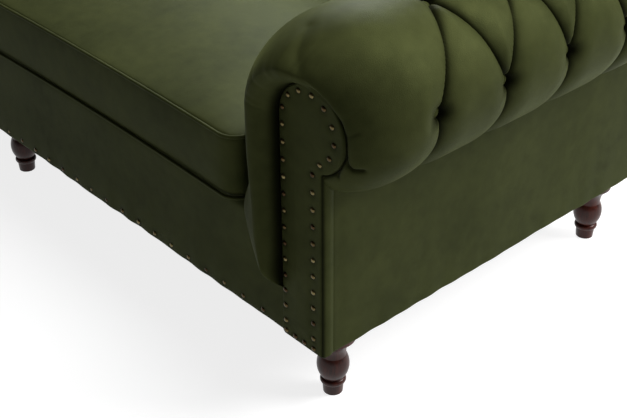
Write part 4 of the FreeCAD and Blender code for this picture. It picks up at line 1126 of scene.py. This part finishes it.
# %% [markdown]
# ## Seat cushions
# A cushion is a cover sewn from a top, a bottom and a band round the sides, filled tight. Its
# seams hold still while the cloth between them swells. So the cushion starts as a slightly
# slack closed form, is remeshed to even cells and inflated by cloth simulation with its seams
# pinned. Only the right one is simulated, and the left one is its mirror image. The piping
# cords go on afterwards, along the two seams.

# %% The cushion's outline
low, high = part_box("right_cushion_piping")
CUSHION_MIDDLE = ((low.x + high.x) / 2, (low.y + high.y) / 2)
CUSHION_HALF = ((high.x - low.x) / 2, (high.y - low.y) / 2)
CUSHION_CORNER = 38 * MM
CUSHION_DRAW = 6 * MM
CORD_RADIUS = 2.5 * MM
CORD_PROUD = 0.7 * MM
SEAM_INWARD = 1.2 * CORD_RADIUS
BOXING = high.z - low.z - 2.5 * MM
cushion_z = low.z


def three_point_arc(a, b, c, steps):
    """Points on the circle through three points, from the first to the last."""
    (ax, ay), (bx, by), (cx, cy) = a, b, c
    d = 2 * (ax * (by - cy) + bx * (cy - ay) + cx * (ay - by))
    sa, sb, sc = ax * ax + ay * ay, bx * bx + by * by, cx * cx + cy * cy
    centre = ((sa * (by - cy) + sb * (cy - ay) + sc * (ay - by)) / d,
              (sa * (cx - bx) + sb * (ax - cx) + sc * (bx - ax)) / d)
    first = math.atan2(ay - centre[1], ax - centre[0])
    last = math.atan2(cy - centre[1], cx - centre[0])
    sweep = (last - first + math.pi) % (2 * math.pi) - math.pi
    radius = math.hypot(ax - centre[0], ay - centre[1])
    angles = first + np.linspace(0, sweep, steps + 1)[:-1]
    return [(centre[0] + radius * math.cos(t), centre[1] + radius * math.sin(t)) for t in angles]


def cushion_outline(inset, side_steps=60, corner_steps=12):
    """The cushion in plan: four drawn-in sides between four round corners."""
    ring = []
    reach_x, reach_y = CUSHION_HALF[0] - inset, CUSHION_HALF[1] - inset
    bend = 2 * math.atan(CUSHION_DRAW / (max(reach_x, reach_y) - CUSHION_CORNER))
    rise = CUSHION_CORNER * math.sqrt(0.5) * math.tan((math.pi / 4 + bend) / 2)
    middle = CUSHION_CORNER / 2 - rise * math.sqrt(0.5)
    for quarter in range(4):
        along, out = (reach_x, reach_y) if quarter % 2 == 0 else (reach_y, reach_x)
        drawn = (along - CUSHION_CORNER) * math.tan(bend / 2)
        side = [(CUSHION_CORNER - along, -out), (0, drawn - out), (along - CUSHION_CORNER, -out)]
        corner = [side[2], (along - middle, middle - out), (along, CUSHION_CORNER - out)]
        part = three_point_arc(*side, side_steps) + three_point_arc(*corner, corner_steps)
        turn = math.radians(90 * quarter)
        ring += [(x * math.cos(turn) - y * math.sin(turn), x * math.sin(turn) + y * math.cos(turn))
                 for x, y in part]
    return np.array(ring) + CUSHION_MIDDLE


def smooth_ring(ring, rounds):
    for turn in range(rounds):
        ring = (np.roll(ring, 1, axis=0) + 2 * ring + np.roll(ring, -1, axis=0)) / 4
    return ring


cord_line = cushion_outline(CORD_RADIUS - CORD_PROUD)
cord_steps = np.linalg.norm(np.roll(cord_line, -1, axis=0) - cord_line, axis=1)
print("each piping cord is", round(float(cord_steps.sum()), 3), "m long")

# %% The cushion's cover
CROWN = 17 * MM
VOXEL = 7.5 * MM
PRESSURE = 4.5
MOST_SWELL = 26 * MM
PIN_REACH = 10 * MM
LAST_FRAME = 20


def cushion_form():
    """The slack cover: bands of the outline, closed by a flat bottom and a crowned top."""
    levels = [(0, SEAM_INWARD), (0.12, 3.2 * MM), (0.35, 3 * MM), (0.65, 3 * MM),
              (0.88, 3.2 * MM), (1.0, SEAM_INWARD)]
    outline = cushion_outline(SEAM_INWARD)
    centre = np.array(CUSHION_MIDDLE)
    rings = []
    for share in (0.05, 0.3, 0.6, 0.9, 0.97):
        flat = smooth_ring(outline, round(60 * (1 - share)))
        rings.append((centre + (flat - centre) * share, cushion_z + 1.5 * MM))
    for share, inset in levels:
        level = cushion_z + CORD_RADIUS + share * (BOXING - CORD_RADIUS)
        rings.append((cushion_outline(inset), level))
    for share in (0.985, 0.95, 0.88, 0.76, 0.6, 0.4, 0.2, 0.04):
        flat = smooth_ring(outline, round(40 * (1 - share)))
        crown = CROWN * (1 - share ** 3.2) ** 0.8
        rings.append((centre + (flat - centre) * share, cushion_z + BOXING + crown))
    points = np.concatenate([np.c_[ring, np.full(len(ring), z)] for ring, z in rings])
    count = len(outline)
    faces = [list(range(count))[::-1]]
    for ring in range(len(rings) - 1):
        a, b = ring * count, (ring + 1) * count
        faces += [(a + k, a + (k + 1) % count, b + (k + 1) % count, b + k) for k in range(count)]
    faces.append([(len(rings) - 1) * count + k for k in range(count)])
    return points, faces


def mesh_points(piece):
    points = np.empty(len(piece.data.vertices) * 3)
    piece.data.vertices.foreach_get("co", points)
    return points.reshape(-1, 3)


def apply_modifiers(piece):
    graph = bpy.context.evaluated_depsgraph_get()
    mesh = bpy.data.meshes.new_from_object(piece.evaluated_get(graph))
    piece.modifiers.clear()
    piece.data = mesh


def seam_distance(points):
    """How far each point is from the nearer of the two seams."""
    outline = cushion_outline(SEAM_INWARD)
    tree = KDTree(len(outline) * 2)
    for index, (x, y) in enumerate(outline):
        tree.insert((x, y, cushion_z + CORD_RADIUS), 2 * index)
        tree.insert((x, y, cushion_z + BOXING), 2 * index + 1)
    tree.balance()
    return np.array([tree.find(point)[2] for point in points])


def inflate(piece):
    """Cloth simulation: the cover swells between its pinned seams, up to a limit."""
    remesh = piece.modifiers.new("even", "REMESH")
    remesh.mode, remesh.voxel_size = "VOXEL", VOXEL
    apply_modifiers(piece)
    before = mesh_points(piece)
    seam = piece.vertex_groups.new(name="seam")
    for index, far in enumerate(seam_distance(before)):
        seam.add([index], float(np.clip(1.4 - far / PIN_REACH, 0, 1)), "REPLACE")
    cloth = piece.modifiers.new("cloth", "CLOTH")
    settings = cloth.settings
    settings.quality = 6
    settings.mass = 0.25
    settings.tension_stiffness = settings.compression_stiffness = 12
    settings.shear_stiffness = 6
    settings.bending_stiffness = 0.6
    settings.use_pressure = True
    settings.uniform_pressure_force = PRESSURE
    settings.vertex_group_mass = "seam"
    settings.effector_weights.gravity = 0
    cloth.collision_settings.use_collision = False
    cloth.point_cache.frame_start, cloth.point_cache.frame_end = 1, LAST_FRAME
    for frame_number in range(1, LAST_FRAME + 1):
        bpy.context.scene.frame_set(frame_number)
    apply_modifiers(piece)
    bpy.context.scene.frame_set(1)
    after = mesh_points(piece)
    move = after - before
    size = np.linalg.norm(move, axis=1, keepdims=True)
    after = before + move * np.minimum(1, MOST_SWELL / np.maximum(size, 1e-9))
    print("swelled by up to", round(float(size.max() / MM), 1), "mm")
    return after


# %% [markdown]
# ## The cushion in its place
# Whatever the simulation gives, the cushion lies flat on the seat and stays between its
# neighbours. A soft limit presses the sides in where they would pass the arm or each other.

# %% Cushions
SEAM_WIDTH = 5 * MM
SEAM_TUCK = 1.5 * MM
LOOSE = 4 * MM
# Each row: the axis, the way along it, the limit that way and how softly it presses.
CUSHION_LIMITS = [
    (0, 1, CUSHION_MIDDLE[0] + CUSHION_HALF[0], 2 * MM),
    (0, -1, CUSHION_HALF[0] - CUSHION_MIDDLE[0], 2 * MM),
    (1, 1, CUSHION_MIDDLE[1] + CUSHION_HALF[1], 2 * MM),
    (1, -1, CUSHION_HALF[1] - CUSHION_MIDDLE[1] + LOOSE, LOOSE),
    (2, -1, -cushion_z, 1 * MM),
]


def soft_limit(values, limit, width):
    """Values that rise past the limit are pressed back, without a sharp edge."""
    over = np.maximum(values - (limit - width), 0)
    return np.minimum(values, limit - width) + width * (1 - np.exp(-over / width))


def make_cushion(name):
    points, faces = cushion_form()
    piece = new_piece(name + "_cushion_velvet", points, faces, velvet)
    if swelled:
        piece.data = swelled["mesh"].copy()
        piece.data.name = piece.name
        points = swelled["points"].copy()
    else:
        points = inflate(piece)
        swelled.update(points=points.copy(), mesh=piece.data.copy())
    for axis, way, limit, width in CUSHION_LIMITS:
        points[:, axis] = way * soft_limit(way * points[:, axis], limit, width)
    seam = np.exp(-(seam_distance(points) / SEAM_WIDTH) ** 2)
    centre = np.array([*CUSHION_MIDDLE, cushion_z + BOXING / 2])
    inward = centre - points
    inward /= np.linalg.norm(inward, axis=1, keepdims=True)
    points = points + inward * (SEAM_TUCK * seam)[:, None]
    if name == "left":
        points[:, 0] *= -1
        piece.data.flip_normals()
    piece.data.vertices.foreach_set("co", points.ravel())
    finer = piece.modifiers.new("finer", "SUBSURF")
    finer.levels = finer.render_levels = 1
    apply_modifiers(piece)
    piece.data.shade_smooth()
    return dress(piece, [name + "_cushion_cover"], body=name + "_cushion")


def piping(name):
    """Velvet-covered cord along both seams, a little uneven along its length."""
    side = 1 if name == "right" else -1
    points, faces = [], []
    for z in (cushion_z + CORD_RADIUS, cushion_z + BOXING):
        ring = cushion_outline(CORD_RADIUS - CORD_PROUD, 90, 20)
        way = np.roll(ring, -1, axis=0) - np.roll(ring, 1, axis=0)
        way /= np.linalg.norm(way, axis=1, keepdims=True)
        out = np.stack([way[:, 1], -way[:, 0]], axis=1)
        first = sum(len(p) for p in points)
        steps = 12
        for k in range(steps):
            turn = 2 * math.pi * k / steps
            radius = (CORD_RADIUS + CORD_PROUD) * (1 + 0.03 * np.sin(np.arange(len(ring)) * 0.9))
            flat = ring + out * (radius * math.cos(turn))[:, None]
            points.append(np.c_[side * flat[:, 0], flat[:, 1], z + radius * math.sin(turn)])
        count = len(ring)
        for k in range(steps):
            a, b = first + k * count, first + ((k + 1) % steps) * count
            quads = [(a + i, a + (i + 1) % count, b + (i + 1) % count, b + i)
                     for i in range(count)]
            faces += quads if side > 0 else [quad[::-1] for quad in quads]
    piece = new_piece(name + "_cushion_piping_velvet", np.concatenate(points), faces, velvet)
    weld(piece, 0.00001)
    return dress(piece, [name + "_cushion_piping"], body=name + "_cushion")


swelled = {}
for name in ("right", "left"):
    make_cushion(name)
    piping(name)

# %% [markdown]
# ## Seat deck
# Under the cushions the springs are covered by a felt pad and a strong plain cloth. Only who
# lifts a cushion sees it. The springs press faint ridges through it.

# %% Cloths
def woven_material(name, dark, light, scale, roughness=0.9):
    """A plain weave: two waves at right angles, a little uneven."""
    material, tree, shader = new_material(name)
    place = add(tree, "ShaderNodeTexCoord").outputs["Object"]
    threads = []
    for way in ("X", "Y"):
        wave = add(tree, "ShaderNodeTexWave", {"Vector": place, "Scale": scale, "Distortion": 0.6},
                   bands_direction=way)
        threads.append(wave.outputs["Fac"])
    weave = mix(tree, 0.5, *threads)
    tone = mix(tree, 0.4, weave, noise(tree, place, 14.0, 3.0))
    tree.links.new(ramp(tree, tone, [(0.3, dark), (0.7, light)]), shader.inputs["Base Color"])
    tree.links.new(bump(tree, weave, 0.5, 0.0004), shader.inputs["Normal"])
    shader.inputs["Roughness"].default_value = roughness
    return material


deck_cloth = woven_material("deck_cloth", linear(52, 54, 40), linear(74, 77, 58), 160)
dust_cloth = woven_material("dust_cloth", linear(16, 16, 17), linear(34, 34, 35), 190)
print("cloths", deck_cloth.name, dust_cloth.name)


# %% Seat deck
SPRING_ROWS = 10
RIDGE_HEIGHT = 0.8 * MM
DECK_FRONT = 12 * MM
DECK_SINK = 1.2 * MM
DECK_EDGE_DROP = 3 * MM
DECK_WRINKLE = 0.5 * MM


def seat_deck():
    """The deck's cloth: faint ridges over the springs, sunk edges and a slight wrinkle."""
    low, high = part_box("seat_deck")
    x = np.linspace(low.x, high.x, 300)[:, None]
    y = np.linspace(low.y - DECK_FRONT, high.y, 130)[None, :]
    ridge = np.cos((x - low.x) / (high.x - low.x) * 2 * SPRING_ROWS * math.pi) * RIDGE_HEIGHT
    edge = np.minimum(np.minimum(x - low.x, high.x - x), high.y - y)
    z = high.z - DECK_SINK + ridge * ease(edge / 0.05) - DECK_EDGE_DROP * (1 - ease(edge / 0.02))
    z = z + DECK_WRINKLE * np.sin(y * 60 + 3 * np.sin(x * 9))
    points = np.stack([x + 0 * z, y + 0 * z, np.minimum(z, high.z)], axis=2)
    piece = new_piece("deck_cloth", points, grid_faces(*points.shape[:2]), deck_cloth)
    return dress(piece, ["seat_deck"])


seat_deck()

# %% [markdown]
# ## Wood, metal and filling
# The frame is beech and ply, the springs and fittings are zinc-plated steel, and the feet are
# turned hardwood with a dark red-brown polish. The grain of wood is noise that is stretched
# along the length of the piece; each long direction gets its own material.

# %% Wood
def wood_material(name, dark, middle, light, stretch, roughness, coat=0.0):
    material, tree, shader = new_material(name)
    place = add(tree, "ShaderNodeTexCoord").outputs["Object"]
    laid = add(tree, "ShaderNodeMapping", {"Vector": place, "Scale": stretch}).outputs["Vector"]
    figure = noise(tree, laid, 1.0, 3.0)
    fibre = noise(tree, laid, 6.0, 4.0)
    tone = mix(tree, 0.45, figure, fibre)
    tree.links.new(ramp(tree, tone, [(0.3, dark), (0.5, middle), (0.7, light)]),
                   shader.inputs["Base Color"])
    tree.links.new(bump(tree, fibre, 0.15, 0.0004), shader.inputs["Normal"])
    shader.inputs["Roughness"].default_value = roughness
    shader.inputs["Coat Weight"].default_value = coat
    shader.inputs["Coat Roughness"].default_value = 0.22
    shader.inputs["Specular IOR Level"].default_value = 0.25
    return material


beech = (linear(150, 112, 72), linear(184, 146, 102), linear(204, 170, 126))
beech_x = wood_material("beech_along_x", *beech, (3, 60, 60), 0.6)
beech_y = wood_material("beech_along_y", *beech, (60, 3, 60), 0.6)
beech_z = wood_material("beech_upright", *beech, (60, 60, 3), 0.6)
birch = (linear(160, 128, 88), linear(196, 164, 120), linear(214, 186, 146))
ply = wood_material("birch_ply", *birch, (6, 5, 40), 0.65)
polished = (linear(36, 11, 6), linear(64, 23, 13), linear(88, 34, 19))
mahogany = wood_material("dark_mahogany", *polished, (70, 70, 9), 0.36, coat=0.06)
print("woods", beech_x.name, beech_y.name, beech_z.name, ply.name, mahogany.name)


# %% Steel and foam
def steel_material():
    material, tree, shader = new_material("zinc_steel")
    place = add(tree, "ShaderNodeTexCoord").outputs["Object"]
    blotch = noise(tree, place, 90.0, 3.0)
    zinc = ramp(tree, blotch, [(0.3, linear(120, 122, 124)), (0.7, linear(168, 170, 172))])
    tree.links.new(zinc, shader.inputs["Base Color"])
    tree.links.new(bump(tree, blotch, 0.1, 0.0002), shader.inputs["Normal"])
    shader.inputs["Metallic"].default_value = 1.0
    shader.inputs["Roughness"].default_value = 0.42
    return material


def foam_material():
    material, tree, shader = new_material("cream_foam")
    place = add(tree, "ShaderNodeTexCoord").outputs["Object"]
    cells = add(tree, "ShaderNodeTexVoronoi", {"Vector": place, "Scale": 500.0})
    cells = cells.outputs["Distance"]
    cream = ramp(tree, cells, [(0.1, linear(205, 190, 140)), (0.7, linear(232, 220, 178))])
    tree.links.new(cream, shader.inputs["Base Color"])
    tree.links.new(bump(tree, cells, 0.6, 0.0006), shader.inputs["Normal"])
    shader.inputs["Roughness"].default_value = 0.95
    return material


steel, foam = steel_material(), foam_material()
print("also", steel.name, foam.name)

# %% The finish of each CAD piece
# The first row with a word that is in the node's name gives its finish.
FINISH_WORDS = [
    (("_foot",), mahogany),
    (("foot_bolts", "foot_tee_nuts", "seat_springs", "spring_clips"), steel),
    (("foam", "front_edge_roll"), foam),
    (("inner_panel",), ply),
    (("dust_cover",), dust_cloth),
    (("seat_deck",), deck_cloth),
    (("nails",), brass),
    (("cover", "button", "outside", "border", "piping", "facing"), velvet),
    (("back_tack_rail",), beech_x),
    (("side_rail", "tack_rail", "arm_top_rail", "cross_rail"), beech_y),
    (("post", "upright", "front_board", "blocks"), beech_z),
    (("",), beech_x),
]
finishes = {}
for name, node in nodes.items():
    finish = next(finish for words, finish in FINISH_WORDS if any(word in name for word in words))
    finishes.setdefault(finish.name, []).append(name)
    node.data.materials.clear()
    node.data.materials.append(finish)
print({name: len(names) for name, names in finishes.items()})

# %% [markdown]
# ## Floor
# The sofa stands on a plain white floor. Camera, glossy and transmission rays see part of the
# floor's white as its own light, so it shows as paper white, also where metal mirrors it, and
# still takes the sofa's shadow.

# %% Floor
FLOOR_LIFT = 0.82
FLOOR_GREY = 0.36
FLOOR_REACH = 12
floor_material, tree, shader = new_material("floor_white")
shader.inputs["Base Color"].default_value = (FLOOR_GREY, FLOOR_GREY, FLOOR_GREY, 1)
shader.inputs["Roughness"].default_value = 0.9
path = add(tree, "ShaderNodeLightPath")
seen = add(tree, "ShaderNodeMath", {0: path.outputs["Is Camera Ray"],
                                    1: path.outputs["Is Glossy Ray"]}, operation="MAXIMUM")
seen = add(tree, "ShaderNodeMath", {0: seen.outputs[0],
                                    1: path.outputs["Is Transmission Ray"]}, operation="MAXIMUM")
paper = add(tree, "ShaderNodeEmission", {"Color": (1, 1, 1, 1), "Strength": FLOOR_LIFT})
both = add(tree, "ShaderNodeAddShader", {0: shader.outputs[0], 1: paper.outputs[0]})
choice = add(tree, "ShaderNodeMixShader", {0: seen.outputs[0], 1: shader.outputs[0],
                                           2: both.outputs[0]})
tree.links.new(choice.outputs[0], tree.nodes["Material Output"].inputs["Surface"])
corners = [(x * FLOOR_REACH, y * FLOOR_REACH, 0) for x, y in ((-1, -1), (1, -1), (1, 1), (-1, 1))]
floor = new_piece("floor", corners, [(0, 1, 2, 3)], floor_material, smooth=False)
print("floor", 2 * FLOOR_REACH, "m wide")

# %% [markdown]
# ## Light
# A large soft lamp stands high up behind the sofa on the left, so the seat mirrors it and the
# front stays in soft shade. A second one hangs over the near arm. A third stands behind it on
# the right, for the roll's outer side. The world fills the rest with a little light, and the
# camera alone sees it white.

# %% Lamps and world
WORLD_STRENGTH = 0.06
# Each row: the lamp's name, its place, the point it lights, its width in metres and its watts.
LAMPS = [
    ("key", (-1.6, 2.3, 2.1), (0.7, 0.0, 0.5), 1.2, 118),
    ("overhead", (1.5, 0.3, 2.9), (1.0, 0.0, 0.4), 1.4, 62),
    ("side", (2.9, 2.0, 2.3), (1.0, 0.1, 0.4), 1.6, 112),
]


def soft_light(name, place, target, size, power):
    light = bpy.data.lights.new(name, "AREA")
    light.shape = "DISK"
    light.size = size
    light.energy = power
    lamp = bpy.data.objects.new(name, light)
    lamp.location = place
    aim = Vector(target) - Vector(place)
    lamp.rotation_euler = aim.to_track_quat("-Z", "Y").to_euler()
    bpy.context.scene.collection.objects.link(lamp)
    return lamp


for lamp in LAMPS:
    soft_light(*lamp)
world = bpy.data.worlds.new("studio")
world.use_nodes = True
bpy.context.scene.world = world
tree = world.node_tree
background = tree.nodes["Background"]
path = add(tree, "ShaderNodeLightPath")
strength = mix(tree, path.outputs["Is Camera Ray"], WORLD_STRENGTH, 1.0)
tree.links.new(strength, background.inputs["Strength"])
background.inputs["Color"].default_value = (1, 1, 1, 1)
bpy.context.scene.view_settings.view_transform = "Standard"
print("lamps", [(name, power) for name, place, target, size, power in LAMPS])
